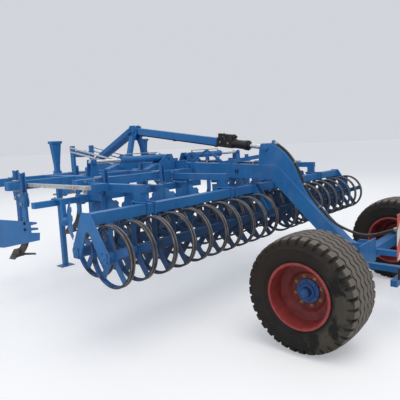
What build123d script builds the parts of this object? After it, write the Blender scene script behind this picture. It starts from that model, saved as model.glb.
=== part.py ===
"""Semi-mounted folding field cultivator, 5 m working width, with three tine rows,
levelling discs, a double ring roller and a transport carriage behind.

Millimetres. +X is the right-hand side, +Y the direction of travel, +Z up.
The origin lies on the floor, midway between both ends of the machine.
"""

import os
from math import cos, hypot, pi, radians, sin, tan

from build123d import *

os.makedirs("parts", exist_ok=True)

SIDES = {"left": -1, "right": 1}

# Overall places along the machine, counted ahead of the wheel axle
DRUM_AHEAD = 5080
POST_AHEAD = DRUM_AHEAD + 170
LINK_PIN_AHEAD = DRUM_AHEAD + 320
BEAM_FRONT_AHEAD = DRUM_AHEAD - 180
STAND_BEAM_AHEAD = BEAM_FRONT_AHEAD - 300
FRONT_END = POST_AHEAD + 200
REAR_END = 650
AXLE_Y = -(FRONT_END - REAR_END) / 2

# Wheels
TYRE_RADIUS = 533
TYRE_WIDTH = 550
TRACK = 2500
BEAD_RADIUS = 288
RIM_FLANGE_RADIUS = 300
RIM_HALF_WIDTH = 232
RIM_WALL = 9
DISC_OFFSET = 20
DISC_THICKNESS = 12
HUB_RADIUS = 112
HUB_SEAT_RADIUS = 70
HUB_CAP_RADIUS = 48
HUB_CAP_LENGTH = 92
SPINDLE_RADIUS = 34
AXLE_TUBE = 120
SEAT_GAP = 0.3
RUNNING_GAP = 0.4

# Carriage: gooseneck over the rollers, hinged on the frame
ARM_WIDTH = 170
PIVOT_AHEAD = 2600
PIVOT_Z = 1535
PIVOT_RADIUS = 95
PIVOT_PIN = 35
WEB_WIDTH = 110
HEAD_GAP = 76
STRUT_PIN_AHEAD = 1200
STRUT_PIN_Z = 1800
STRUT_PIN = 25

# Lights: places behind the axle, heights
BOARD_SIZE = 423
BOARD_OUTER = 785
BOARD_LOW = 772
BOARD_STEM = 40
BOARD_STEM_TOP = 1150
LIGHT_BAR_BEHIND = (560, 620)
LIGHT_BAR_Z = (523, 583)
LIGHT_BAR_HALF = 770
LAMP_X = (520, 760)
LAMP_Z = (590, 700)

# Hose from the head to the left board: X, distance ahead, Z
HOSE_RADIUS = 15
HOSE_POINTS = [
    (0, 1096, 1864),
    (0, 1003, 1817),
    (0, 855, 1678),
    (0, 752, 1502),
    (0, 712, 1380),
    (0, 592, 1178),
    (0, 449, 1038),
    (-60, 290, 915),
    (-160, 80, 868),
    (-310, -140, 862),
    (-450, -330, 920),
    (-545, -475, 985),
    (-570, -575, 1025),
]

# Top strut and lift cylinder
TOWER_PIN_AHEAD = 3700
TOWER_PIN_Z = 2142
STRUT_RUN = TOWER_PIN_AHEAD - STRUT_PIN_AHEAD
STRUT_DROP = TOWER_PIN_Z - STRUT_PIN_Z
STRUT_LENGTH = hypot(STRUT_RUN, STRUT_DROP)
STRUT_SIZE = 100
STRUT_START = 110
STRUT_END = 1730
CYLINDER_BLOCK = 124
CYLINDER_BLOCK_END = 1990
VALVE_WIDTH = 96
VALVE_HEIGHT = 54
PIPE_RADIUS = 11
LIFT_BARREL_RADIUS = 58
LIFT_BARREL_END = 2230
LIFT_ROD_RADIUS = 28
EYE_RADIUS = 48
EYE_WIDTH = 60
EYE_CLEARANCE = 8

# Central frame
BEAM_HALF = 80
BEAM_LOW = 1380
BEAM_TOP = 1630
BEAM_REAR_AHEAD = 2760
CROSS_DEPTH = 140
CROSS_HALF = 340
CROSS_AHEAD = (2820, 3690)
CHEEK = 20
STAND_BEAM = 100
STAND_BEAM_TOP = 1520

# Wing fold
FOLD_X = 420
FOLD_Z = 1600
FOLD_PIN = 25
FOLD_CYL_PIN = 20
LUG_RADIUS = 46
FOLD_BASE_X = 250
FOLD_EYE_X = 1500
FOLD_CYL_Z = 1720
FOLD_BARREL_RADIUS = 45
FOLD_ROD_RADIUS = 23
FOLD_BARREL_END = 790

# Wing frames
TUBE = 100
WING_Z = 1500
ROW_AHEAD = {"rear": 2450, "middle": 3200, "front": 3950}
ROW_OUTER = {"rear": 2000, "middle": 2400, "front": 2300}
SIDE_ROD_X = 2180
SIDE_ROD = 40
SIDE_ROD_REAR = 1920
ROD_BRACKET_AHEAD = 2000
ROW_INNER = 125
RAIL_X = (600, 1500)

# Tines: distance from the centre plane, row
TINES = [
    (150, "front"),
    (450, "middle"),
    (750, "rear"),
    (1050, "front"),
    (1350, "middle"),
    (1650, "rear"),
    (1950, "front"),
    (2250, "middle"),
]
TINE_WIDTH = 30
HOLDER_WIDTH = 66
HOLDER_PLATE = 12
HOLDER_BOLT = 12
SHARE_HALF = 150
SHARE_TIP_Z = 570

# Levelling discs: distance from the centre plane, heading in degrees
DISCS = [(580, -28), (1010, -28), (1440, -28), (1870, -28), (2300, 28)]
DISC_BEAM_AHEAD = 2260
DISC_BEAM = 80
DISC_BEAM_Z = 1360
DISC_BEAM_OUTER = 2600
DISC_COLLAR = 2070
DISC_OUTER_BEAM = 60
DISC_AHEAD = 2090
DISC_Z = 1180
DISC_RADIUS = 195
DISC_DISH = 40
DISC_WALL = 6
NOTCH_COUNT = 12
NOTCH_RADIUS = 28
NOTCH_OUTSIDE = 8
DISC_HUB_RADIUS = 48
DISC_HUB_LENGTH = 42
DISC_ARM = 40
DISC_ARM_BEHIND = 30
DISC_CLAMP_WIDTH = 50
DISC_CLAMP = 16

# Rollers: name, distance ahead of the axle, innermost ring
ROLLERS = [("rear", 1216, 235), ("front", 1630, 110)]
ROLLER_Z = 965
RING_RADIUS = 278
RING_HALF = 29
RING_RIDGE = (14, 21)
RING_GROOVE = 15
RING_SHOULDER = 13
RING_DEPTH = 22
RING_PITCH = 250
SHAFT_RADIUS = 50
SPOKE_COUNT = 5
SPOKE_WIDTH = 62
SPOKE_THICKNESS = 8
ROLLER_BEAM_AHEAD = 1450
ROLLER_BEAM_Z = 1280
ROLLER_ARM_X = (500, 1850)
ROLLER_ARM_WIDTH = 70
ROLLER_ARM_REAR = 1490
ROLLER_ARM_Z = (1430, 1510)
END_PLATE = 12
PLATE_INNER = 45
PLATE_OUTER = 2552
STUB_RADIUS = 25

# Headstock
POST_X = 200
POST_HALF = 20
POST_FOOT_Z = 1420
POST_TOP = 1950
DRUM_RADIUS = 110
DRUM_HALF = 380
DRUM_Z = 1270
LINK_PIN_RADIUS = 18.3
LINK_PIN_Z = 1100
LINK_SHOULDER = 482.5
LINK_HALF = 565
TOP_LINK_RADIUS = 16
TOP_LINK_Z = 1800
EAR_HALF_HEIGHT = 60

# Stay bars from the mast back to the front hinge plates: heights at both ends
STAY_SIZE = 24
STAY_HEIGHTS = [(1920, 1645), (1850, 1580)]

# Parking stands
STAND_X = 920
STAND_TOP = 2030
STAND_SIZE = 70
STAND_SLEEVE = 12


def ahead(distance):
    """Y of a place that lies so far ahead of the wheel axle."""
    return AXLE_Y + distance


def block(x, y, z):
    """Box between two low and high pairs on each axis."""
    spans = [sorted(pair) for pair in (x, y, z)]
    sizes = [high - low for low, high in spans]
    with Locations([tuple((low + high) / 2 for low, high in spans)]):
        Box(*sizes)


def cross_x(x_low, x_high, y, z, radius, mode=Mode.ADD):
    """Round bar along X."""
    with Locations(Location(((x_low + x_high) / 2, y, z), (0, 90, 0))):
        Cylinder(radius, abs(x_high - x_low), mode=mode)


def cross_y(y_low, y_high, x, z, radius, mode=Mode.ADD):
    """Round bar along Y."""
    with Locations(Location((x, (y_low + y_high) / 2, z), (90, 0, 0))):
        Cylinder(radius, abs(y_high - y_low), mode=mode)


def side_plate(points, x_low, x_high):
    """Plate in the side view: (Y, Z) points, from one X to another."""
    with BuildSketch(Plane.YZ.offset(min(x_low, x_high))) as profile:
        Polygon(*points, align=None)
    extrude(profile.sketch, amount=abs(x_high - x_low))


def front_plate(points, y_low, y_high):
    """Plate in the front view: (X, Z) points, from one Y to another."""
    with BuildSketch(Plane.XZ.offset(-max(y_low, y_high))) as profile:
        Polygon(*points, align=None)
    extrude(profile.sketch, amount=abs(y_high - y_low))


def bar(start, end, width, height):
    """Straight bar with a rectangular section between two points."""
    direction = Vector(*end) - Vector(*start)
    with BuildSketch(Plane(origin=start, z_dir=direction)) as profile:
        Rectangle(width, height)
    extrude(profile.sketch, amount=direction.length)


def write(part, name):
    """Label a finished piece and write its file."""
    part.label = name
    export_step(part, f"parts/{name}.step")


# Wheels


def wheel_plane(side):
    """Plane through the wheel's middle: local X outward, local Y radial."""
    centre = (side * TRACK / 2, AXLE_Y, TYRE_RADIUS)
    return Plane(origin=centre, x_dir=(side, 0, 0), z_dir=(0, -side, 0))


def make_wheel(name, side):
    plane = wheel_plane(side)
    spin = Axis(plane.origin, (side, 0, 0))
    half = TYRE_WIDTH / 2
    bead_half = RIM_HALF_WIDTH - RIM_WALL - SEAT_GAP

    with BuildPart() as tyre:
        with BuildSketch(plane):
            with BuildLine():
                Line((-bead_half, BEAD_RADIUS + SEAT_GAP), (bead_half, BEAD_RADIUS + SEAT_GAP))
                Line((bead_half, BEAD_RADIUS + SEAT_GAP), (bead_half, BEAD_RADIUS + 24))
                ThreePointArc((bead_half, BEAD_RADIUS + 24), (half, 410), (half - 28, 490))
                ThreePointArc((half - 28, 490), (half - 50, 516), (half - 82, 522))
                ThreePointArc((half - 82, 522), (0, TYRE_RADIUS), (82 - half, 522))
                ThreePointArc((82 - half, 522), (50 - half, 516), (28 - half, 490))
                ThreePointArc((28 - half, 490), (-half, 410), (-bead_half, BEAD_RADIUS + 24))
                Line((-bead_half, BEAD_RADIUS + 24), (-bead_half, BEAD_RADIUS + SEAT_GAP))
            make_face()
        revolve(axis=spin)

    with BuildPart() as rim:
        with BuildSketch(plane):
            with BuildLine():
                Polyline(
                    (-RIM_HALF_WIDTH, RIM_FLANGE_RADIUS),
                    (-RIM_HALF_WIDTH + RIM_WALL, RIM_FLANGE_RADIUS),
                    (-RIM_HALF_WIDTH + RIM_WALL, BEAD_RADIUS),
                    (RIM_HALF_WIDTH - RIM_WALL, BEAD_RADIUS),
                    (RIM_HALF_WIDTH - RIM_WALL, RIM_FLANGE_RADIUS),
                    (RIM_HALF_WIDTH, RIM_FLANGE_RADIUS),
                    (RIM_HALF_WIDTH, BEAD_RADIUS - RIM_WALL),
                    (DISC_OFFSET + 60, BEAD_RADIUS - 30),
                    (DISC_OFFSET + 45, 190),
                    (DISC_OFFSET + DISC_THICKNESS, 160),
                    (DISC_OFFSET + DISC_THICKNESS, HUB_SEAT_RADIUS),
                    (DISC_OFFSET, HUB_SEAT_RADIUS),
                    (DISC_OFFSET, 166),
                    (DISC_OFFSET + 30, 196),
                    (DISC_OFFSET + 30, BEAD_RADIUS - 30),
                    (-RIM_HALF_WIDTH, BEAD_RADIUS - RIM_WALL),
                    close=True,
                )
            make_face()
        revolve(axis=spin)

    hub_outer = DISC_OFFSET + DISC_THICKNESS
    with BuildPart() as hub:
        with BuildSketch(plane):
            with BuildLine():
                Polyline(
                    (-60, SPINDLE_RADIUS + RUNNING_GAP),
                    (-60, 92),
                    (DISC_OFFSET - 18, 92),
                    (DISC_OFFSET - 18, HUB_RADIUS),
                    (DISC_OFFSET - SEAT_GAP, HUB_RADIUS),
                    (DISC_OFFSET - SEAT_GAP, HUB_SEAT_RADIUS - SEAT_GAP),
                    (hub_outer + 30, HUB_SEAT_RADIUS - SEAT_GAP),
                    (hub_outer + 34, HUB_CAP_RADIUS),
                    (hub_outer + HUB_CAP_LENGTH - 10, HUB_CAP_RADIUS - 4),
                    (hub_outer + HUB_CAP_LENGTH, HUB_CAP_RADIUS - 14),
                    (hub_outer + HUB_CAP_LENGTH, 0),
                    (hub_outer + HUB_CAP_LENGTH - 12, 0),
                    (hub_outer + HUB_CAP_LENGTH - 12, SPINDLE_RADIUS + RUNNING_GAP),
                    close=True,
                )
            make_face()
        revolve(axis=spin)

    write(tyre.part, f"tyre_{name}")
    write(rim.part, f"rim_{name}")
    write(hub.part, f"hub_{name}")


# Carriage


def make_gooseneck():
    head_y = ahead(STRUT_PIN_AHEAD)
    with BuildPart() as gooseneck:
        side_plate(
            [
                (ahead(PIVOT_AHEAD), PIVOT_Z + PIVOT_RADIUS),
                (ahead(1030), 1582),
                (ahead(150), 722),
                (ahead(-60), 620),
                (ahead(-60), TYRE_RADIUS + AXLE_TUBE / 2),
                (ahead(60), TYRE_RADIUS + AXLE_TUBE / 2),
                (ahead(260), TYRE_RADIUS + 60),
                (ahead(1110), 1410),
                (ahead(PIVOT_AHEAD), PIVOT_Z - PIVOT_RADIUS),
            ],
            -ARM_WIDTH / 2,
            ARM_WIDTH / 2,
        )
        cross_x(-ARM_WIDTH / 2, ARM_WIDTH / 2, ahead(PIVOT_AHEAD), PIVOT_Z, PIVOT_RADIUS)
        bore = PIVOT_PIN + RUNNING_GAP
        cross_x(-ARM_WIDTH, ARM_WIDTH, ahead(PIVOT_AHEAD), PIVOT_Z, bore, Mode.SUBTRACT)
        # Curved web between the bend and the head
        with BuildSketch(Plane.YZ.offset(-WEB_WIDTH / 2)):
            with BuildLine():
                Polyline((ahead(1130), 1860), (head_y + 70, 1860), (head_y + 95, 1800))
                Polyline((head_y + 95, 1800), (ahead(1320), 1560), (ahead(1000), 1500))
                Polyline((ahead(1000), 1500), (ahead(620), 1150), (ahead(600), 1158))
                Line((ahead(600), 1158), (ahead(745), 1400))
                ThreePointArc((ahead(745), 1400), (ahead(888), 1680), (ahead(1130), 1860))
            make_face()
        extrude(amount=WEB_WIDTH)
        # Slot in the head for the rod's eye
        slot_low = STRUT_PIN_Z - EYE_RADIUS - EYE_CLEARANCE - 8
        with Locations(((0, head_y + 20, (slot_low + 1900) / 2))):
            Box(HEAD_GAP, 172, 1900 - slot_low, mode=Mode.SUBTRACT)
        for side in (-1, 1):
            cross_x(side * WEB_WIDTH / 2, side * (WEB_WIDTH / 2 + 16), head_y, STRUT_PIN_Z, 34)
        # Small brace from the beam up to the head
        bar((0, ahead(2000), 1604), (0, ahead(1290), 1700), 50, 30)
        # Bent bracket on the beam
        bar((0, ahead(2540), 1622), (0, ahead(2214), 1800), 25, 25)
        bar((0, ahead(1906), 1604), (0, ahead(2226), 1800), 25, 25)
        # Fitting at the start of the hose
        start, second = hose_point(0), hose_point(1)
        bar(start, start + (start - second).normalized() * 36, 40, 36)
    write(gooseneck.part, "gooseneck")


def make_axle():
    inner = TRACK / 2 - 60 - 12
    with BuildPart() as axle:
        low = TYRE_RADIUS - AXLE_TUBE / 2
        high = TYRE_RADIUS + AXLE_TUBE / 2
        block((-inner, inner), (ahead(-AXLE_TUBE / 2), ahead(AXLE_TUBE / 2)), (low, high))
        for side in (-1, 1):
            cross_x(side * inner, side * (TRACK / 2 + 60), AXLE_Y, TYRE_RADIUS, SPINDLE_RADIUS)
            # Carriers for the light bar
            block(
                (side * 260, side * 330),
                (ahead(-LIGHT_BAR_BEHIND[0]), ahead(-AXLE_TUBE / 2)),
                LIGHT_BAR_Z,
            )
            # Gussets beside the arm's lower end
            side_plate(
                [
                    (ahead(-AXLE_TUBE / 2), high),
                    (ahead(-AXLE_TUBE / 2), high + 130),
                    (ahead(AXLE_TUBE / 2), high + 130),
                    (ahead(AXLE_TUBE / 2 + 90), high + 40),
                    (ahead(AXLE_TUBE / 2), high),
                ],
                side * ARM_WIDTH / 2,
                side * (ARM_WIDTH / 2 + 20),
            )
        block((-250, 250), (ahead(-AXLE_TUBE / 2 - 16), ahead(-AXLE_TUBE / 2)), (low - 20, high + 130))
    write(axle.part, "axle")


def make_lights():
    bar_y = (ahead(-LIGHT_BAR_BEHIND[1]), ahead(-LIGHT_BAR_BEHIND[0]))
    board_y = ahead(-LIGHT_BAR_BEHIND[1])
    with BuildPart() as light_bar:
        block((-LIGHT_BAR_HALF, LIGHT_BAR_HALF), bar_y, LIGHT_BAR_Z)
        for side in (-1, 1):
            centre = side * (BOARD_OUTER - BOARD_SIZE / 2)
            block(
                (centre - BOARD_STEM / 2, centre + BOARD_STEM / 2),
                (board_y, board_y + BOARD_STEM / 2),
                (LIGHT_BAR_Z[1], BOARD_STEM_TOP),
            )
        # Fitting at the end of the hose
        end, before = hose_point(-1), hose_point(-2)
        bar(end, end + (end - before).normalized() * 32, 36, 36)
    write(light_bar.part, "light_bar")

    for name, side in SIDES.items():
        with BuildPart() as board:
            block(
                (side * (BOARD_OUTER - BOARD_SIZE), side * BOARD_OUTER),
                (board_y - 4, board_y),
                (BOARD_LOW, BOARD_LOW + BOARD_SIZE),
            )
        write(board.part, f"warning_board_{name}")

    with BuildPart() as lamps:
        for side in (-1, 1):
            block((side * LAMP_X[0], side * LAMP_X[1]), (ahead(-REAR_END), board_y), LAMP_Z)
    write(lamps.part, "rear_lamps")


def hose_point(index):
    """One of the hose's points as a vector."""
    x, distance, z = HOSE_POINTS[index]
    return Vector(x, ahead(distance), z)


def make_hose():
    """Hose with round bends between its points; the radii and length are printed."""
    points = [hose_point(index) for index in range(len(HOSE_POINTS))]
    radii = []
    for before, corner, after in zip(points, points[1:], points[2:]):
        come, leave = corner - before, after - corner
        half_turn = radians(come.get_angle(leave)) / 2
        radii.append(round(0.45 * min(come.length, leave.length) / tan(half_turn), 1))
    with BuildPart() as hose:
        with BuildLine():
            route = FilletPolyline(*points, radius=radii)
        with BuildSketch(Plane(origin=route @ 0, z_dir=route % 0)):
            Circle(HOSE_RADIUS)
        sweep()
    expected = pi * HOSE_RADIUS ** 2 * route.length
    print("hose radii", radii)
    print(f"hose length {route.length:.0f}, volume ratio {hose.part.volume / expected:.4f}")
    write(hose.part, "hose_gooseneck")


# Strut and lift cylinder

def strut_plane(along):
    """Plane across the strut, so far behind the tower pin."""
    run = STRUT_RUN / STRUT_LENGTH
    drop = STRUT_DROP / STRUT_LENGTH
    origin = (0, ahead(TOWER_PIN_AHEAD - along * run), TOWER_PIN_Z - along * drop)
    return Plane(origin=origin, x_dir=(1, 0, 0), z_dir=(0, -run, -drop))


def strut_box(start, end, width, height, mode=Mode.ADD):
    with BuildSketch(strut_plane(start)) as profile:
        Rectangle(width, height)
    extrude(profile.sketch, amount=end - start, mode=mode)


def strut_round(start, end, radius, mode=Mode.ADD):
    with BuildSketch(strut_plane(start)) as profile:
        Circle(radius)
    extrude(profile.sketch, amount=end - start, mode=mode)


def make_strut():
    tower_y = ahead(TOWER_PIN_AHEAD)
    with BuildPart() as strut:
        cross_x(-EYE_WIDTH / 2, EYE_WIDTH / 2, tower_y, TOWER_PIN_Z, EYE_RADIUS)
        strut_box(20, STRUT_START, EYE_WIDTH, 70)
        strut_box(STRUT_START, STRUT_END, STRUT_SIZE, STRUT_SIZE)
        cross_x(-60, 60, tower_y, TOWER_PIN_Z, STRUT_PIN + RUNNING_GAP, Mode.SUBTRACT)
    write(strut.part, "strut")

    with BuildPart() as pipe:
        with BuildSketch(strut_plane(STRUT_START + 20)) as profile:
            with Locations((0, -STRUT_SIZE / 2 - PIPE_RADIUS)):
                Circle(PIPE_RADIUS)
        extrude(profile.sketch, amount=STRUT_END - STRUT_START - 40)
        for along in (STRUT_START + 40, STRUT_END / 2, STRUT_END - 60):
            with BuildSketch(strut_plane(along)) as profile:
                with Locations((0, -STRUT_SIZE / 2 - PIPE_RADIUS - 3)):
                    Rectangle(50, 2 * PIPE_RADIUS + 6)
            extrude(profile.sketch, amount=25)
    write(pipe.part, "strut_pipe")

    with BuildPart() as valve:
        rise = CYLINDER_BLOCK / 2 + VALVE_HEIGHT / 2
        with BuildSketch(strut_plane(STRUT_END + 10)) as profile:
            with Locations((0, rise)):
                Rectangle(VALVE_WIDTH, VALVE_HEIGHT)
        extrude(profile.sketch, amount=CYLINDER_BLOCK_END - STRUT_END - 20)
        with BuildSketch(strut_plane(CYLINDER_BLOCK_END - 10)) as profile:
            with GridLocations(48, 1, 2, 1):
                with Locations((0, rise)):
                    Circle(15)
        extrude(profile.sketch, amount=28)
    write(valve.part, "valve_block")

    bore_start = STRUT_END + 60
    with BuildPart() as barrel:
        strut_box(STRUT_END, CYLINDER_BLOCK_END, CYLINDER_BLOCK, CYLINDER_BLOCK)
        strut_round(CYLINDER_BLOCK_END, LIFT_BARREL_END, LIFT_BARREL_RADIUS)
        strut_round(LIFT_BARREL_END - 50, LIFT_BARREL_END, LIFT_BARREL_RADIUS + 8)
        strut_round(bore_start, LIFT_BARREL_END, LIFT_ROD_RADIUS + RUNNING_GAP, Mode.SUBTRACT)
    write(barrel.part, "lift_barrel")

    with BuildPart() as rod:
        strut_round(LIFT_BARREL_END - 180, STRUT_LENGTH - 30, LIFT_ROD_RADIUS)
        cross_x(-EYE_WIDTH / 2, EYE_WIDTH / 2, ahead(STRUT_PIN_AHEAD), STRUT_PIN_Z, EYE_RADIUS)
        pin_half = HEAD_GAP / 2 - 2
        cross_x(-pin_half, pin_half, ahead(STRUT_PIN_AHEAD), STRUT_PIN_Z, STRUT_PIN)
    write(rod.part, "lift_rod")


# Central frame


def make_frame():
    front = ahead(BEAM_FRONT_AHEAD)
    with BuildPart() as main_frame:
        block((-BEAM_HALF, BEAM_HALF), (ahead(BEAM_REAR_AHEAD), front), (BEAM_LOW, BEAM_TOP))
        for cross_ahead in CROSS_AHEAD:
            block(
                (-CROSS_HALF, CROSS_HALF),
                (ahead(cross_ahead - CROSS_DEPTH / 2), ahead(cross_ahead + CROSS_DEPTH / 2)),
                (BEAM_LOW, BEAM_TOP),
            )
        # Fork cheeks that hold the carriage pin
        inner = ARM_WIDTH / 2 + 6
        for side in (-1, 1):
            side_plate(
                [
                    (ahead(PIVOT_AHEAD - 110), 1450),
                    (ahead(PIVOT_AHEAD - 110), 1620),
                    (ahead(PIVOT_AHEAD - 60), 1660),
                    (ahead(CROSS_AHEAD[0]), 1660),
                    (ahead(CROSS_AHEAD[0]), BEAM_LOW - 20),
                    (ahead(PIVOT_AHEAD), BEAM_LOW + 10),
                ],
                side * inner,
                side * (inner + CHEEK),
            )
        cross_x(-inner - CHEEK - 14, inner + CHEEK + 14, ahead(PIVOT_AHEAD), PIVOT_Z, PIVOT_PIN)
        stand_y = (ahead(STAND_BEAM_AHEAD - STAND_BEAM / 2), ahead(STAND_BEAM_AHEAD + STAND_BEAM / 2))
        block((-STAND_X + 60, STAND_X - 60), stand_y, (STAND_BEAM_TOP - STAND_BEAM, STAND_BEAM_TOP))
    write(main_frame.part, "main_frame")

    with BuildPart() as brackets:
        for cross_ahead in CROSS_AHEAD:
            for side in (-1, 1):
                for face in (-1, 1):
                    near = ahead(cross_ahead + face * CROSS_DEPTH / 2)
                    far = near + face * CHEEK
                    front_plate(
                        [
                            (side * 130, BEAM_TOP + 10),
                            (side * 190, FOLD_CYL_Z + 45),
                            (side * 300, FOLD_CYL_Z + 45),
                            (side * (FOLD_X + 52), FOLD_Z + 20),
                            (side * (FOLD_X + 45), FOLD_Z - 50),
                            (side * 330, BEAM_LOW - 30),
                            (side * 130, BEAM_LOW - 30),
                        ],
                        near,
                        far,
                    )
                low = ahead(cross_ahead - CROSS_DEPTH / 2 - CHEEK - 14)
                high = ahead(cross_ahead + CROSS_DEPTH / 2 + CHEEK + 14)
                cross_y(low, high, side * FOLD_X, FOLD_Z, FOLD_PIN)
        for side in (-1, 1):
            low = ahead(CROSS_AHEAD[0] - CROSS_DEPTH / 2 - CHEEK - 10)
            high = ahead(CROSS_AHEAD[0] + CROSS_DEPTH / 2 + CHEEK + 10)
            cross_y(low, high, side * FOLD_BASE_X, FOLD_CYL_Z, FOLD_CYL_PIN)
    write(brackets.part, "hinge_brackets")


def make_tower():
    pin_y = ahead(TOWER_PIN_AHEAD)
    inner = EYE_WIDTH / 2 + 4
    outer = inner + 25
    with BuildPart() as tower:
        for side in (-1, 1):
            side_plate(
                [
                    (pin_y - 60, TOWER_PIN_Z - 50),
                    (pin_y - 60, TOWER_PIN_Z + 60),
                    (pin_y - 20, TOWER_PIN_Z + 85),
                    (pin_y + 90, TOWER_PIN_Z + 85),
                    (pin_y + 150, TOWER_PIN_Z - 20),
                    (pin_y + 90, TOWER_PIN_Z - 150),
                    (pin_y - 10, TOWER_PIN_Z - 150),
                ],
                side * inner,
                side * outer,
            )
            foot = (side * 205, pin_y - 5, BEAM_TOP + 30)
            bar((side * 66, pin_y + 30, TOWER_PIN_Z - 90), foot, 60, 80)
            brace_foot = (side * 60, ahead(BEAM_FRONT_AHEAD - 90), BEAM_TOP + 34)
            bar((side * 72, pin_y + 60, TOWER_PIN_Z + 10), brace_foot, 70, 60)
        block((-260, 260), (pin_y - 60, pin_y + 50), (BEAM_TOP, BEAM_TOP + 30))
        block((-outer, outer), (pin_y + 62, pin_y + 90), (TOWER_PIN_Z - 150, TOWER_PIN_Z + 85))
        block(
            (-100, 100),
            (ahead(BEAM_FRONT_AHEAD - 160), ahead(BEAM_FRONT_AHEAD - 20)),
            (BEAM_TOP, BEAM_TOP + 30),
        )
        cross_x(-outer - 14, outer + 14, pin_y, TOWER_PIN_Z, STRUT_PIN)
    write(tower.part, "tower")


def make_headstock():
    front = ahead(BEAM_FRONT_AHEAD)
    post_rear, post_front = ahead(POST_AHEAD - 50), ahead(POST_AHEAD + 50)
    with BuildPart() as headstock:
        cross_x(-DRUM_HALF, DRUM_HALF, ahead(DRUM_AHEAD), DRUM_Z, DRUM_RADIUS)
        flange_half = BEAM_HALF + 30
        block((-flange_half, flange_half), (front, front + 30), (BEAM_LOW - 60, BEAM_TOP + 20))
        neck_y = (front + 30, ahead(DRUM_AHEAD))
        block((-BEAM_HALF, BEAM_HALF), neck_y, (BEAM_LOW - 60, BEAM_LOW + 60))
        for side in (-1, 1):
            # Foot of each post
            side_plate(
                [
                    (ahead(DRUM_AHEAD), DRUM_Z + 90),
                    (ahead(DRUM_AHEAD), DRUM_Z - 90),
                    (post_front - 10, DRUM_Z - 100),
                    (post_front + 10, DRUM_Z + 60),
                    (post_front, POST_FOOT_Z),
                    (post_rear, POST_FOOT_Z),
                ],
                side * (POST_X - POST_HALF),
                side * (POST_X + POST_HALF),
            )
            # Arm down to the lower link
            side_plate(
                [
                    (ahead(DRUM_AHEAD), DRUM_Z + 60),
                    (ahead(DRUM_AHEAD - 60), DRUM_Z - 60),
                    (ahead(LINK_PIN_AHEAD - 60), LINK_PIN_Z - 50),
                    (ahead(LINK_PIN_AHEAD + 40), LINK_PIN_Z - 50),
                    (ahead(LINK_PIN_AHEAD + 50), LINK_PIN_Z + 30),
                    (ahead(LINK_PIN_AHEAD), LINK_PIN_Z + 80),
                ],
                side * (DRUM_HALF - 30),
                side * DRUM_HALF,
            )
    write(headstock.part, "headstock")

    ear_low, ear_high = TOP_LINK_Z - EAR_HALF_HEIGHT, TOP_LINK_Z + EAR_HALF_HEIGHT
    with BuildPart() as mast:
        for side in (-1, 1):
            post_x = (side * (POST_X - POST_HALF), side * (POST_X + POST_HALF))
            block(post_x, (post_rear, post_front), (POST_FOOT_Z, POST_TOP))
            block((side * 26, side * 46), (post_rear, ahead(FRONT_END)), (ear_low, ear_high))
        inner = POST_X - POST_HALF
        block((-inner, inner), (post_rear, post_front), (ear_low + 20, ear_high - 20))
        hole_y = ahead(FRONT_END) - 50
        cross_x(-60, 60, hole_y, TOP_LINK_Z, TOP_LINK_RADIUS, Mode.SUBTRACT)
    write(mast.part, "mast")

    with BuildPart() as cross_shaft:
        cross_x(-DRUM_HALF + 30, DRUM_HALF - 30, ahead(LINK_PIN_AHEAD), LINK_PIN_Z, 30)
        for side in (-1, 1):
            cross_x(side * DRUM_HALF, side * LINK_SHOULDER, ahead(LINK_PIN_AHEAD), LINK_PIN_Z, 30)
            pin_x = (side * LINK_SHOULDER, side * LINK_HALF)
            cross_x(*pin_x, ahead(LINK_PIN_AHEAD), LINK_PIN_Z, LINK_PIN_RADIUS)
    write(cross_shaft.part, "link_shaft")

    plate_y = ahead(CROSS_AHEAD[1] + CROSS_DEPTH / 2 + CHEEK)
    with BuildPart() as stays:
        for side in (-1, 1):
            for high, low in STAY_HEIGHTS:
                side_plate(
                    [
                        (ahead(POST_AHEAD + 30), high - STAY_SIZE / 2),
                        (ahead(POST_AHEAD + 30), high + STAY_SIZE / 2),
                        (plate_y, low + STAY_SIZE / 2),
                        (plate_y, low - STAY_SIZE / 2),
                    ],
                    side * (POST_X + POST_HALF),
                    side * (POST_X + POST_HALF + STAY_SIZE),
                )
    write(stays.part, "stay_bars")


def make_stands():
    y = ahead(STAND_BEAM_AHEAD)
    half = STAND_SIZE / 2
    hole = half + SEAT_GAP
    wall = hole + STAND_SLEEVE
    low = STAND_BEAM_TOP - STAND_BEAM - 60
    high = STAND_BEAM_TOP + 40
    with BuildPart() as sleeves:
        for side in (-1, 1):
            x = side * STAND_X
            block((x - wall, x + wall), (y - wall, y + wall), (low, high))
            block((side * (STAND_X - 60), side * (STAND_X - wall)), (y - 50, y + 50), (low + 60, high - 40))
            with Locations((x, y, (low + high) / 2)):
                Box(2 * hole, 2 * hole, high - low, mode=Mode.SUBTRACT)
    write(sleeves.part, "stand_sleeves")

    for name, side in SIDES.items():
        x = side * STAND_X
        with BuildPart() as stand:
            block((x - half, x + half), (y - half, y + half), (12, 1640))
            block((x - 110, x + 110), (y - 90, y + 90), (0, 12))
            with BuildSketch(Plane.XY.offset(1640)):
                with Locations((x, y)):
                    Rectangle(STAND_SIZE, STAND_SIZE)
            with BuildSketch(Plane.XY.offset(STAND_TOP - 40)):
                with Locations((x, y)):
                    Rectangle(150, STAND_SIZE + 20)
            loft()
            block((x - 90, x + 90), (y - 60, y + 60), (STAND_TOP - 40, STAND_TOP))
        write(stand.part, f"stand_{name}")


# Wings


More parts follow.
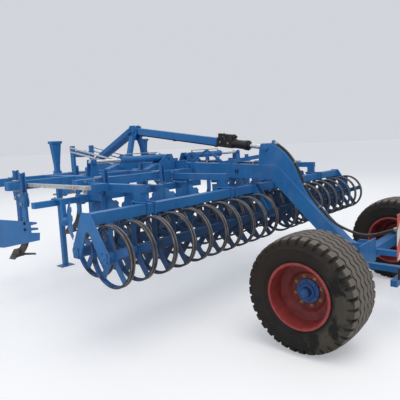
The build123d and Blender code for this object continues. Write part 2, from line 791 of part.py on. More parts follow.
def make_wing_frame(name, side):
    half = TUBE / 2
    low, high = WING_Z - half, WING_Z + half
    with BuildPart() as frame:
        for row, row_ahead in ROW_AHEAD.items():
            block(
                (side * ROW_INNER, side * ROW_OUTER[row]),
                (ahead(row_ahead - half), ahead(row_ahead + half)),
                (low, high),
            )
        for rail in RAIL_X:
            block(
                (side * (rail - half), side * (rail + half)),
                (ahead(ROW_AHEAD["rear"]), ahead(ROW_AHEAD["front"])),
                (low, high),
            )
        # Lugs on the fold pins
        for cross_ahead in CROSS_AHEAD:
            y_low = ahead(cross_ahead - CROSS_DEPTH / 2 + 6)
            y_high = ahead(cross_ahead + CROSS_DEPTH / 2 - 6)
            cross_y(y_low, y_high, side * FOLD_X, FOLD_Z, LUG_RADIUS)
            front_plate(
                [
                    (side * FOLD_X, FOLD_Z + LUG_RADIUS),
                    (side * (RAIL_X[0] + 40), high + 20),
                    (side * (RAIL_X[0] + 40), high - 10),
                    (side * (RAIL_X[0] - half - 5), low + 10),
                    (side * (FOLD_X + 10), FOLD_Z - LUG_RADIUS),
                ],
                y_low,
                y_high,
            )
            cross_y(y_low - 5, y_high + 5, side * FOLD_X, FOLD_Z, FOLD_PIN + RUNNING_GAP, Mode.SUBTRACT)
        # Cheeks for the fold cylinder's eye
        for face in (-1, 1):
            cheek = ahead(CROSS_AHEAD[0] + face * 34)
            front_plate(
                [
                    (side * (FOLD_EYE_X - 60), high),
                    (side * (FOLD_EYE_X - 36), FOLD_CYL_Z + 34),
                    (side * (FOLD_EYE_X + 36), FOLD_CYL_Z + 34),
                    (side * (FOLD_EYE_X + 60), high),
                ],
                cheek,
                cheek + face * 14,
            )
            cross_y(cheek + face * 14, cheek + face * 26, side * FOLD_EYE_X, FOLD_CYL_Z, 26)
    write(frame.part, f"wing_frame_{name}")


def make_side_rod(name, side):
    """Bar behind the middle row, with the bracket that ties it to the roller arm."""
    half = SIDE_ROD / 2
    bracket_y = ahead(ROD_BRACKET_AHEAD)
    arm_face = ROLLER_ARM_X[1] + ROLLER_ARM_WIDTH / 2
    with BuildPart() as rod:
        block(
            (side * (SIDE_ROD_X - half), side * (SIDE_ROD_X + half)),
            (ahead(SIDE_ROD_REAR), ahead(ROW_AHEAD["middle"] - TUBE / 2)),
            (WING_Z - half, WING_Z + half),
        )
        block(
            (side * arm_face, side * (SIDE_ROD_X + half)),
            (bracket_y - 10, bracket_y + 10),
            (WING_Z - 60, WING_Z + half),
        )
        block(
            (side * (arm_face + 90), side * (arm_face + 110)),
            (bracket_y, ahead(DISC_BEAM_AHEAD - DISC_BEAM / 2)),
            (DISC_BEAM_Z - 20, WING_Z - half),
        )
    write(rod.part, f"side_rod_{name}")


def tine(x, row_y):
    """One tine with its holder, shank and winged share, hung from a row beam."""
    beam_low = WING_Z - TUBE / 2
    rear = row_y - TUBE / 2
    half = HOLDER_WIDTH / 2
    top = beam_low - 30
    heel = rear - 70
    for face in (-1, 1):
        side_plate(
            [
                (rear, beam_low),
                (rear, beam_low + 200),
                (rear - 46, beam_low + 200),
                (rear - 58, beam_low - 20),
                (rear - 90, beam_low - 130),
                (rear - 74, beam_low - 200),
                (rear + 14, beam_low - 190),
                (rear + 34, beam_low - 80),
                (row_y + 30, beam_low - 34),
                (row_y + 50, beam_low - 30),
                (row_y + 50, beam_low),
            ],
            x + face * (half - HOLDER_PLATE),
            x + face * half,
        )
    # Bolt holes in the limbs
    holes = ((rear - 24, beam_low + 170), (rear - 26, beam_low + 70), (row_y + 20, beam_low - 16))
    for hole_y, hole_z in holes:
        cross_x(x - half, x + half, hole_y, hole_z, 7, Mode.SUBTRACT)
    block((x - half, x + half), (rear - 10, rear), (beam_low, beam_low + 190))
    # Pivot and overload bolts through both cheeks and the shank
    for bolt_y, bolt_z in ((heel + 50, beam_low - 60), (heel + 38, beam_low - 160)):
        cross_x(x - half - 8, x + half + 8, bolt_y, bolt_z, HOLDER_BOLT)
    with BuildSketch(Plane.YZ.offset(x - TINE_WIDTH / 2)) as shank:
        with BuildLine():
            Polyline((heel, top), (heel, 1000))
            ThreePointArc((heel, 1000), (heel + 75, 790), (heel + 260, 650))
            Polyline((heel + 260, 650), (heel + 330, 610), (heel + 330, 700))
            ThreePointArc((heel + 330, 700), (heel + 155, 830), (heel + 80, 1010))
            Polyline((heel + 80, 1010), (heel + 80, top), (heel, top))
        make_face()
    extrude(shank.sketch, amount=TINE_WIDTH)
    side_plate(
        [
            (heel + 210, 720),
            (heel + 230, 640),
            (heel + 500, SHARE_TIP_Z),
            (heel + 460, 610),
            (heel + 340, 720),
        ],
        x - 35,
        x + 35,
    )
    with BuildSketch(Plane.XY.offset(640)) as share_wings:
        Polygon(
            (x - 30, heel + 420),
            (x - SHARE_HALF, heel + 190),
            (x - SHARE_HALF + 20, heel + 130),
            (x - 30, heel + 260),
            (x + 30, heel + 260),
            (x + SHARE_HALF - 20, heel + 130),
            (x + SHARE_HALF, heel + 190),
            (x + 30, heel + 420),
            align=None,
        )
    extrude(share_wings.sketch, amount=12)


def make_tines(name, side):
    for row, row_ahead in ROW_AHEAD.items():
        with BuildPart() as tines:
            for distance, tine_row in TINES:
                if tine_row == row:
                    tine(side * distance, ahead(row_ahead))
        write(tines.part, f"tines_{row}_{name}")

    outer_x = TINES[-1][0] + TINE_WIDTH / 2
    with BuildPart() as board:
        side_plate(
            [
                (ahead(2980), 1090),
                (ahead(4050), 1040),
                (ahead(4050), 660),
                (ahead(3700), 700),
                (ahead(2820), 890),
                (ahead(2800), 980),
                (ahead(2990), 960),
                (ahead(2990), 985),
                (ahead(2830), 1010),
                (ahead(2830), 1035),
                (ahead(2990), 1020),
                (ahead(2990), 1045),
                (ahead(2850), 1075),
                (ahead(2850), 1095),
            ],
            side * outer_x,
            side * (outer_x + 6),
        )
    write(board.part, f"side_board_{name}")


def make_discs(name, side):
    beam_y = ahead(DISC_BEAM_AHEAD)
    half = DISC_BEAM / 2
    with BuildPart() as beam:
        for inner, outer, size in (
            (160, DISC_COLLAR, DISC_BEAM),
            (DISC_COLLAR - 25, DISC_COLLAR + 25, DISC_BEAM + 20),
            (DISC_COLLAR, DISC_BEAM_OUTER, DISC_OUTER_BEAM),
        ):
            block(
                (side * inner, side * outer),
                (beam_y - size / 2, beam_y + size / 2),
                (DISC_BEAM_Z - size / 2, DISC_BEAM_Z + size / 2),
            )
        for arm in ROLLER_ARM_X:
            block(
                (side * (arm - 80), side * (arm - 60)),
                (beam_y - 60, ahead(ROW_AHEAD["rear"] - TUBE / 2)),
                (DISC_BEAM_Z - half, WING_Z),
            )
    write(beam.part, f"disc_beam_{name}")

    arc_radius = (DISC_RADIUS ** 2 + DISC_DISH ** 2) / (2 * DISC_DISH)
    middle = dish_depth(DISC_RADIUS / 2, arc_radius)
    with BuildPart() as discs:
        for distance, heading in DISCS:
            turn = radians(-side * heading)
            normal = (side * cos(turn), -side * sin(turn), 0)
            centre = (side * distance, ahead(DISC_AHEAD), DISC_Z)
            plane = Plane(origin=centre, x_dir=(0, 0, 1), z_dir=normal)
            cap = Plane(origin=centre, x_dir=normal, z_dir=(0, 0, 1))
            with BuildSketch(cap):
                with BuildLine():
                    ThreePointArc((0, DISC_RADIUS), (middle, DISC_RADIUS / 2), (DISC_DISH, 0))
                    Line((DISC_DISH, 0), (DISC_DISH + DISC_WALL, 0))
                    ThreePointArc(
                        (DISC_DISH + DISC_WALL, 0),
                        (middle + DISC_WALL, DISC_RADIUS / 2),
                        (DISC_WALL, DISC_RADIUS),
                    )
                    Line((DISC_WALL, DISC_RADIUS), (0, DISC_RADIUS))
                make_face()
            revolve(axis=Axis(centre, normal))
            with BuildSketch(plane.offset(-DISC_WALL)):
                with PolarLocations(DISC_RADIUS + NOTCH_OUTSIDE, NOTCH_COUNT):
                    Circle(NOTCH_RADIUS)
            extrude(amount=DISC_DISH, mode=Mode.SUBTRACT)
            with BuildSketch(plane.offset(DISC_DISH)):
                Circle(DISC_HUB_RADIUS)
            extrude(amount=DISC_HUB_LENGTH)
            arm_x = side * distance + normal[0] * (DISC_DISH + DISC_ARM_BEHIND)
            arm_y = centre[1] + normal[1] * (DISC_DISH + DISC_ARM_BEHIND)
            beam_half = half if distance < DISC_COLLAR else DISC_OUTER_BEAM / 2
            beam_top = DISC_BEAM_Z + beam_half
            arm_half = DISC_ARM / 2
            bar((arm_x, arm_y, DISC_Z - arm_half), (arm_x, arm_y, beam_top), DISC_ARM, DISC_ARM)
            clamp_x = (arm_x - DISC_CLAMP_WIDTH / 2, arm_x + DISC_CLAMP_WIDTH / 2)
            clamp_y = (arm_y - arm_half, beam_y + beam_half)
            block(clamp_x, clamp_y, (beam_top, beam_top + DISC_CLAMP))
    write(discs.part, f"levelling_discs_{name}")


def dish_depth(radius, arc_radius):
    """Depth of the dished disc at a radius, counted from its rim."""
    return (arc_radius ** 2 - radius ** 2) ** 0.5 - (arc_radius - DISC_DISH)


def make_roller_carrier(name, side):
    beam_y = ahead(ROLLER_BEAM_AHEAD)
    half = TUBE / 2
    front_axle = ahead(ROLLERS[1][1])
    rear_axle = ahead(ROLLERS[0][1])
    with BuildPart() as carrier:
        block(
            (side * PLATE_INNER, side * PLATE_OUTER),
            (beam_y - half, beam_y + half),
            (ROLLER_BEAM_Z - half, ROLLER_BEAM_Z + half),
        )
        arm_half = ROLLER_ARM_WIDTH / 2
        for arm in ROLLER_ARM_X:
            arm_x = (side * (arm - arm_half), side * (arm + arm_half))
            arm_y = (ahead(ROLLER_ARM_REAR), ahead(ROW_AHEAD["rear"] - TUBE / 2))
            block(arm_x, arm_y, ROLLER_ARM_Z)
            post_y = (beam_y + half, beam_y + half + 100)
            block(arm_x, post_y, (ROLLER_BEAM_Z - 20, ROLLER_ARM_Z[0]))
        for plate_x in (PLATE_INNER, PLATE_OUTER):
            side_plate(
                [
                    (beam_y - 60, ROLLER_BEAM_Z + 60),
                    (beam_y + 60, ROLLER_BEAM_Z + 60),
                    (front_axle + 62, ROLLER_Z + 20),
                    (front_axle + 50, ROLLER_Z - 55),
                    (front_axle - 50, ROLLER_Z - 55),
                    (beam_y + 10, ROLLER_BEAM_Z - 110),
                    (beam_y - 30, ROLLER_BEAM_Z - 110),
                    (rear_axle + 50, ROLLER_Z - 55),
                    (rear_axle - 50, ROLLER_Z - 55),
                    (rear_axle - 62, ROLLER_Z + 20),
                ],
                side * plate_x,
                side * (plate_x + END_PLATE),
            )
            for axle_y in (front_axle, rear_axle):
                inward = 1 if plate_x == PLATE_INNER else -1
                face = plate_x + END_PLATE if inward > 0 else plate_x
                cross_x(side * face, side * (face + inward * 10), axle_y, ROLLER_Z, 44)
        reach = PLATE_OUTER + 60
        bore = STUB_RADIUS + RUNNING_GAP
        for axle_y in (front_axle, rear_axle):
            cross_x(-reach, reach, axle_y, ROLLER_Z, bore, Mode.SUBTRACT)
    write(carrier.part, f"roller_carrier_{name}")


def make_roller(roller, axle_ahead, first, name, side):
    y = ahead(axle_ahead)
    count = int((PLATE_OUTER - RING_HALF - first) / RING_PITCH) + 1
    ridge_inner, ridge_outer = RING_RIDGE
    spoke_end = RING_RADIUS - RING_DEPTH + 2
    spin = Axis((0, y, ROLLER_Z), (1, 0, 0))
    shaft_inner = side * (PLATE_INNER + END_PLATE + 12)
    shaft_outer = side * (PLATE_OUTER - 12)
    with BuildPart() as rings:
        cross_x(shaft_inner, shaft_outer, y, ROLLER_Z, SHAFT_RADIUS)
        cross_x(side * (PLATE_INNER + 2), side * (PLATE_OUTER + END_PLATE - 2), y, ROLLER_Z, STUB_RADIUS)
        for index in range(count):
            x = side * (first + index * RING_PITCH)
            plane = Plane(origin=(x, y, ROLLER_Z), x_dir=(1, 0, 0), z_dir=(0, -1, 0))
            with BuildSketch(plane):
                Polygon(
                    (-RING_HALF, RING_RADIUS - RING_SHOULDER),
                    (-ridge_outer, RING_RADIUS),
                    (-ridge_inner, RING_RADIUS),
                    (0, RING_RADIUS - RING_GROOVE),
                    (ridge_inner, RING_RADIUS),
                    (ridge_outer, RING_RADIUS),
                    (RING_HALF, RING_RADIUS - RING_SHOULDER),
                    (ridge_outer, RING_RADIUS - RING_DEPTH),
                    (-ridge_outer, RING_RADIUS - RING_DEPTH),
                    align=None,
                )
            revolve(axis=spin)
            with BuildSketch(Plane.YZ.offset(x - SPOKE_THICKNESS / 2)):
                with Locations((y, ROLLER_Z)):
                    Circle(SHAFT_RADIUS + 22)
                    with PolarLocations(spoke_end / 2, SPOKE_COUNT, start_angle=18):
                        Rectangle(spoke_end, SPOKE_WIDTH)
            extrude(amount=SPOKE_THICKNESS)
    write(rings.part, f"{roller}_roller_{name}")


# Fold cylinders


def make_fold_cylinder(name, side):
    y = ahead(CROSS_AHEAD[0])
    length = FOLD_EYE_X - FOLD_BASE_X

    def along(start, end, radius, mode=Mode.ADD):
        cross_x(side * (FOLD_BASE_X + start), side * (FOLD_BASE_X + end), y, FOLD_CYL_Z, radius, mode)

    with BuildPart() as barrel:
        cross_y(y - 26, y + 26, side * FOLD_BASE_X, FOLD_CYL_Z, 40)
        along(30, FOLD_BARREL_END, FOLD_BARREL_RADIUS)
        along(FOLD_BARREL_END - 40, FOLD_BARREL_END, FOLD_BARREL_RADIUS + 7)
        along(90, FOLD_BARREL_END, FOLD_ROD_RADIUS + RUNNING_GAP, Mode.SUBTRACT)
        cross_y(y - 60, y + 60, side * FOLD_BASE_X, FOLD_CYL_Z, FOLD_CYL_PIN + RUNNING_GAP, Mode.SUBTRACT)
    write(barrel.part, f"fold_barrel_{name}")

    with BuildPart() as rod:
        along(FOLD_BARREL_END - 200, length - 20, FOLD_ROD_RADIUS)
        cross_y(y - 24, y + 24, side * FOLD_EYE_X, FOLD_CYL_Z, 36)
        cross_y(y - 30, y + 30, side * FOLD_EYE_X, FOLD_CYL_Z, FOLD_CYL_PIN)
    write(rod.part, f"fold_rod_{name}")


make_gooseneck()
make_axle()
make_lights()
make_hose()
make_strut()
make_frame()
make_tower()
make_headstock()
make_stands()
for side_name, side_sign in SIDES.items():
    make_wheel(side_name, side_sign)
    make_wing_frame(side_name, side_sign)
    make_side_rod(side_name, side_sign)
    make_tines(side_name, side_sign)
    make_discs(side_name, side_sign)
    make_roller_carrier(side_name, side_sign)
    make_fold_cylinder(side_name, side_sign)
    for roller_name, roller_ahead, first_ring in ROLLERS:
        make_roller(roller_name, roller_ahead, first_ring, side_name, side_sign)
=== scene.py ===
# Folding field cultivator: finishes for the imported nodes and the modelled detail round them
from math import cos, hypot, pi, radians, sin

import bmesh
import bpy
from mathutils import Matrix, Vector


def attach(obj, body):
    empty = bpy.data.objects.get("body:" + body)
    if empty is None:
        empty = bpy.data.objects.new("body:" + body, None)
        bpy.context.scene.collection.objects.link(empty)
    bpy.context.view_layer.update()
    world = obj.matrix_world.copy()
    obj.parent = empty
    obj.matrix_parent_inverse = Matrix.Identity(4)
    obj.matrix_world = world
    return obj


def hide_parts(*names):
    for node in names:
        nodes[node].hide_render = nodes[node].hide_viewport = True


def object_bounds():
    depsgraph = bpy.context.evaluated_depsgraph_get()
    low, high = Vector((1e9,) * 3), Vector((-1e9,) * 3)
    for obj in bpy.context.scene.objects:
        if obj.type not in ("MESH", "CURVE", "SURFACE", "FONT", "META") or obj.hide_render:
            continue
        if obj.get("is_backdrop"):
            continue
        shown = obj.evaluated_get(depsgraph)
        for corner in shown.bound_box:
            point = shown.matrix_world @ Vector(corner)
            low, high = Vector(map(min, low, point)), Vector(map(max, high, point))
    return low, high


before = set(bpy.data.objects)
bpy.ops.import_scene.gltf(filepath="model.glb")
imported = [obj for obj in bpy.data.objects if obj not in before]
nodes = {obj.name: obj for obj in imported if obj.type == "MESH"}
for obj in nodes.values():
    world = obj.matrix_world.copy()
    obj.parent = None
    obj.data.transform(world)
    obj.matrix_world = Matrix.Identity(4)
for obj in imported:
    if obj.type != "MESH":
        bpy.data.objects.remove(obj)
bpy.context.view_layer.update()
sides = {"left": -1, "right": 1}
axleY = -2.4
wheelRadius = 0.533
halfTrack = 1.25
# distances ahead of the wheel axle: rear and front roller, rear and front fold bracket
rollerAxles = (1.216, 1.630)
rollerHeight = 0.965
foldBrackets = (2.820, 3.690)


# steps that many pieces share
def deselectAll():
    bpy.ops.object.select_all(action="DESELECT")


def makeActive(piece):
    deselectAll()
    piece.select_set(True)
    bpy.context.view_layer.objects.active = piece


def applyPlace(piece):
    # an object ends at the origin, with its place in its mesh
    makeActive(piece)
    bpy.ops.object.transform_apply(location=True, rotation=True, scale=True)


def applyModifiers(piece):
    makeActive(piece)
    for modifier in list(piece.modifiers):
        bpy.ops.object.modifier_apply(modifier=modifier.name)


def fixNormals(piece):
    makeActive(piece)
    bpy.ops.object.mode_set(mode="EDIT")
    bpy.ops.mesh.select_all(action="SELECT")
    bpy.ops.mesh.remove_doubles(threshold=0.00002)
    bpy.ops.mesh.normals_make_consistent(inside=False)
    bpy.ops.object.mode_set(mode="OBJECT")


def smoothEdges(piece, angle=35):
    makeActive(piece)
    bpy.ops.object.shade_smooth_by_angle(angle=radians(angle))


def selectFaces(piece, test):
    # edit mode, faces picked by their place and normal
    bpy.ops.object.mode_set(mode="EDIT")
    bpy.ops.mesh.select_mode(type="FACE")
    bpy.ops.mesh.select_all(action="DESELECT")
    mesh = bmesh.from_edit_mesh(piece.data)
    for face in mesh.faces:
        face.select_set(bool(test(face.calc_center_median(), face.normal)))
    bmesh.update_edit_mesh(piece.data)


def joinPieces(name, pieces):
    deselectAll()
    for piece in pieces:
        piece.select_set(True)
    bpy.context.view_layer.objects.active = pieces[0]
    if len(pieces) > 1:
        bpy.ops.object.join()
    joined = bpy.context.view_layer.objects.active
    joined.name = name
    joined.data.name = name
    return joined


def copyTo(piece, matrix):
    copy = piece.copy()
    copy.data = piece.data.copy()
    copy.data.transform(matrix)
    bpy.context.scene.collection.objects.link(copy)
    return copy


def dropPiece(piece):
    bpy.data.objects.remove(piece, do_unlink=True)


def turnTo(direction):
    # turns local Z to a direction
    return Vector((0, 0, 1)).rotation_difference(Vector(direction)).to_matrix().to_4x4()


def finishPiece(piece, material, body):
    piece.data.materials.clear()
    piece.data.materials.append(material)
    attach(piece, body)
    return piece


def at(x, distance, z):
    # a place given by its distance ahead of the wheel axle
    return Vector((x, axleY + distance, z))


def makeBlock(size, place, bevel=0.003):
    # bevelled plate or block round its centre
    deselectAll()
    bpy.ops.mesh.primitive_cube_add(size=1, location=place)
    piece = bpy.context.view_layer.objects.active
    piece.scale = size
    applyPlace(piece)
    edges = piece.modifiers.new("edges", "BEVEL")
    edges.width = bevel
    edges.segments = 2
    applyModifiers(piece)
    smoothEdges(piece, 40)
    return piece


def makeTurned(profile, vertices=24, hollow=False):
    # turned piece along +Z from rows of (height, radius); a hollow one ends where it began
    deselectAll()
    rows = profile + profile[:1] if hollow else profile
    bottom, radius = rows[0]
    fill = "NOTHING" if hollow else "NGON"
    place = (0, 0, bottom)
    bpy.ops.mesh.primitive_circle_add(vertices=vertices, radius=radius, fill_type=fill, location=place)
    piece = bpy.context.view_layer.objects.active
    bpy.ops.object.mode_set(mode="EDIT")
    # an open circle has no face to select
    bpy.ops.mesh.select_mode(type="EDGE" if hollow else "FACE")
    bpy.ops.mesh.select_all(action="SELECT")
    for (low, inner), (high, outer) in zip(rows, rows[1:]):
        bpy.ops.mesh.extrude_region_move(TRANSFORM_OT_translate={"value": (0, 0, high - low)})
        bpy.ops.transform.resize(value=(outer / inner, outer / inner, 1))
    bpy.ops.object.mode_set(mode="OBJECT")
    applyPlace(piece)
    fixNormals(piece)
    smoothEdges(piece, 32)
    return piece


def makeLine(name, points, radius, steps, roundness):
    # round line with its points' corners rounded
    line = bpy.data.curves.new(name, "CURVE")
    line.dimensions = "3D"
    line.resolution_u = steps
    line.bevel_depth = radius
    line.bevel_resolution = roundness
    line.use_fill_caps = True
    spline = line.splines.new("NURBS")
    spline.points.add(len(points) - 1)
    for point, place in zip(spline.points, points):
        point.co = (*place, 1)
    spline.order_u = 3
    spline.use_endpoint_u = True
    piece = bpy.data.objects.new(name, line)
    bpy.context.scene.collection.objects.link(piece)
    return piece


def makeBentBar(points, radius, roundness=2):
    makeActive(makeLine("barLine", points, radius, 4, roundness))
    bpy.ops.object.convert(target="MESH")
    bar = bpy.context.view_layer.objects.active
    fixNormals(bar)
    smoothEdges(bar, 50)
    return bar


def ringPlaces(centre, way, count, circle, turn=0.0):
    # points evenly round a centre, all facing one way
    spin = turnTo(way).to_3x3()
    rows = []
    for index in range(count):
        angle = 2 * pi * (index + turn) / count
        offset = spin @ Vector((cos(angle) * circle, sin(angle) * circle, 0))
        rows.append((Vector(centre) + offset, way))
    return rows


def copiesAt(master, places):
    # places: rows of (point, direction)
    return [copyTo(master, Matrix.Translation(Vector(point)) @ turnTo(way)) for point, way in places]


def finishJoined(name, pieces, material, body):
    return finishPiece(joinPieces(name, pieces), material, body)


def placeTurned(name, profile, vertices, places, material, body, hollow=False):
    master = makeTurned(profile, vertices, hollow)
    copies = copiesAt(master, places)
    dropPiece(master)
    return finishJoined(name, copies, material, body)


# camera at the place and angle that the picture was taken from
cameraFit = {
    "place": (-4.709, axleY - 1.795, 1.892), "pitch": 6.896, "yaw": 50.715, "roll": 2.518,
    "focal": 434.625, "centreU": 217.666, "centreV": 195.477, "width": 400,
}


def makeCamera():
    fit = cameraFit
    pitch, yaw, roll = (radians(fit[key]) for key in ("pitch", "yaw", "roll"))
    forward = Vector((sin(yaw) * cos(pitch), cos(yaw) * cos(pitch), -sin(pitch)))
    level = Vector((cos(yaw), -sin(yaw), 0))
    down = forward.cross(level)
    right = level * cos(roll) + down * sin(roll)
    down = down * cos(roll) - level * sin(roll)
    lens = bpy.data.cameras.new("camera")
    lens.sensor_width = 36
    lens.lens = fit["focal"] / fit["width"] * 36
    lens.shift_x = (fit["width"] / 2 - fit["centreU"]) / fit["width"]
    lens.shift_y = (fit["centreV"] - fit["width"] / 2) / fit["width"]
    lens.clip_end = 200
    camera = bpy.data.objects.new("camera", lens)
    bpy.context.scene.collection.objects.link(camera)
    turn = Matrix((right, -down, -forward)).transposed().to_4x4()
    camera.matrix_world = Matrix.Translation(fit["place"]) @ turn
    bpy.context.scene.camera = camera


makeCamera()
bpy.context.scene.view_settings.view_transform = "Standard"
print("camera set")


# shader steps
def setInputs(tree, node, inputs):
    # a socket is linked, a number or colour goes on the input itself
    for key, value in inputs.items():
        if isinstance(value, bpy.types.NodeSocket):
            tree.links.new(value, node.inputs[key])
        else:
            node.inputs[key].default_value = value


def groupNode(tree, kind, inputs=None, **settings):
    node = tree.nodes.new(kind)
    for key, value in settings.items():
        setattr(node, key, value)
    setInputs(tree, node, inputs or {})
    return node


def mathNode(tree, operation, first, second=0.0, clamp=False):
    inputs = {0: first, 1: second}
    return groupNode(tree, "ShaderNodeMath", inputs, operation=operation, use_clamp=clamp).outputs[0]


def product(tree, first, second, clamp=False):
    return mathNode(tree, "MULTIPLY", first, second, clamp)


def scaleShift(tree, value, scale, shift):
    inputs = {0: value, 1: scale, 2: shift}
    return groupNode(tree, "ShaderNodeMath", inputs, operation="MULTIPLY_ADD").outputs[0]


def rangeNode(tree, value, fromLow, fromHigh, toLow=0.0, toHigh=1.0):
    inputs = {"Value": value, "From Min": fromLow, "From Max": fromHigh, "To Min": toLow, "To Max": toHigh}
    return groupNode(tree, "ShaderNodeMapRange", inputs).outputs["Result"]


def noiseNode(tree, vector, scale, detail=4.0, roughness=0.55):
    inputs = {"Vector": vector, "Scale": scale, "Detail": detail, "Roughness": roughness}
    return groupNode(tree, "ShaderNodeTexNoise", inputs).outputs["Fac"]


def bumpFrom(tree, height, strength, distance):
    inputs = {"Height": height, "Strength": strength, "Distance": distance}
    return groupNode(tree, "ShaderNodeBump", inputs).outputs[0]


def coordinates(tree):
    return groupNode(tree, "ShaderNodeTexCoord").outputs


def partsOf(tree, vector):
    return groupNode(tree, "ShaderNodeSeparateXYZ", {0: vector}).outputs


def distanceFrom(tree, place, centreY, centreZ):
    # distance of a point from an axle along X
    parts = partsOf(tree, place)
    fromY = mathNode(tree, "POWER", mathNode(tree, "SUBTRACT", parts["Y"], centreY), 2.0)
    fromZ = mathNode(tree, "POWER", mathNode(tree, "SUBTRACT", parts["Z"], centreZ), 2.0)
    return mathNode(tree, "SQRT", mathNode(tree, "ADD", fromY, fromZ))


def layerOn(tree, colour, *layers):
    # each layer is a mask and a colour, from the lowest up
    for mask, layer in layers:
        inputs = {0: mask, 6: colour, 7: layer}
        colour = groupNode(tree, "ShaderNodeMix", inputs, data_type="RGBA").outputs[2]
    return colour


# shader groups: dust, worn edges and slow changes of shade
def newGroup(name, inputs, outputs):
    group = bpy.data.node_groups.new(name, "ShaderNodeTree")
    for label, value in inputs.items():
        kind = "NodeSocketColor" if isinstance(value, tuple) else "NodeSocketFloat"
        socket = group.interface.new_socket(name=label, in_out="INPUT", socket_type=kind)
        socket.default_value = value
    for label, kind in outputs.items():
        group.interface.new_socket(name=label, in_out="OUTPUT", socket_type=kind)
    return group, group.nodes.new("NodeGroupInput").outputs, group.nodes.new("NodeGroupOutput")


def makeDustGroup():
    # dust that settles on upward faces and in patches, and soil thrown up from below
    inputs = {"Patch Scale": 6.0, "Settled": 0.5, "Patches": 0.3, "Thrown Height": 0.9, "Thrown": 0.5}
    group, start, end = newGroup("fieldDust", inputs, {"Mask": "NodeSocketFloat", "Grit": "NodeSocketFloat"})
    place = coordinates(group)
    broad = noiseNode(group, place["Object"], start["Patch Scale"])
    fine = noiseNode(group, place["Object"], 90.0, 3.0)
    upward = rangeNode(group, partsOf(group, place["Normal"])["Z"], 0.2, 1.0)
    spread = rangeNode(group, broad, 0.35, 0.7, 0.35, 1.0)
    settled = product(group, product(group, upward, spread), start["Settled"])
    patches = product(group, rangeNode(group, broad, 0.52, 0.74), start["Patches"])
    height = partsOf(group, place["Object"])["Z"]
    height = mathNode(group, "ADD", height, scaleShift(group, broad, 0.5, -0.25))
    thrown = rangeNode(group, mathNode(group, "DIVIDE", height, start["Thrown Height"]), 1.0, 0.2)
    thrown = product(group, thrown, start["Thrown"])
    total = mathNode(group, "ADD", mathNode(group, "ADD", settled, patches), thrown)
    speckle = rangeNode(group, fine, 0.25, 0.75, 0.6, 1.2)
    setInputs(group, end, {"Mask": product(group, total, speckle, clamp=True), "Grit": fine})
    return group


def makeWearGroup():
    # paint rubbed off along edges, broken up by noise
    inputs = {"Edge Width": 0.006, "Amount": 0.6, "Break Up": 24.0}
    group, start, end = newGroup("edgeWear", inputs, {"Mask": "NodeSocketFloat"})
    rounded = groupNode(group, "ShaderNodeBevel", {"Radius": start["Edge Width"]}, samples=4)
    flat = groupNode(group, "ShaderNodeNewGeometry")
    inputs = {0: rounded.outputs["Normal"], 1: flat.outputs["Normal"]}
    agree = groupNode(group, "ShaderNodeVectorMath", inputs, operation="DOT_PRODUCT").outputs["Value"]
    edge = rangeNode(group, agree, 0.995, 0.86)
    broken = noiseNode(group, coordinates(group)["Object"], start["Break Up"], 5.0)
    worn = product(group, edge, rangeNode(group, broken, 0.46, 0.64))
    setInputs(group, end, {"Mask": product(group, worn, start["Amount"], clamp=True)})
    return group


def makeShadeGroup():
    # slow change between two close shades
    inputs = {"Shade A": (0.5, 0.5, 0.5, 1), "Shade B": (0.4, 0.4, 0.4, 1), "Scale": 2.0}
    group, start, end = newGroup("twoShades", inputs, {"Color": "NodeSocketColor"})
    spread = noiseNode(group, coordinates(group)["Object"], start["Scale"], 6.0)
    spread = rangeNode(group, spread, 0.3, 0.7)
    setInputs(group, end, {"Color": layerOn(group, start["Shade A"], (spread, start["Shade B"]))})
    return group


dustGroup = makeDustGroup()
wearGroup = makeWearGroup()
shadeGroup = makeShadeGroup()


def useGroup(tree, group, inputs):
    return groupNode(tree, "ShaderNodeGroup", inputs, node_tree=group).outputs


def twoShades(tree, first, second, scale):
    return useGroup(tree, shadeGroup, {"Shade A": first, "Shade B": second, "Scale": scale})["Color"]


def wornEdges(tree, width, amount, breakUp):
    return useGroup(tree, wearGroup, {"Edge Width": width, "Amount": amount, "Break Up": breakUp})["Mask"]


def fieldDust(tree, scale, settled, patches, height, thrown):
    inputs = {"Patch Scale": scale, "Settled": settled, "Patches": patches}
    inputs.update({"Thrown Height": height, "Thrown": thrown})
    return useGroup(tree, dustGroup, inputs)


# one material for each finish
def startMaterial(name):
    material = bpy.data.materials.new(name)
    material.use_nodes = True
    return material, material.node_tree


def finishMaterial(material, inputs):
    tree = material.node_tree
    setInputs(tree, tree.nodes["Principled BSDF"], inputs)
    return material


dustColour = (0.42, 0.35, 0.27, 1)
soilColour = (0.20, 0.145, 0.10, 1)
blueShades = ((0.019, 0.148, 0.405, 1), (0.038, 0.208, 0.505, 1))

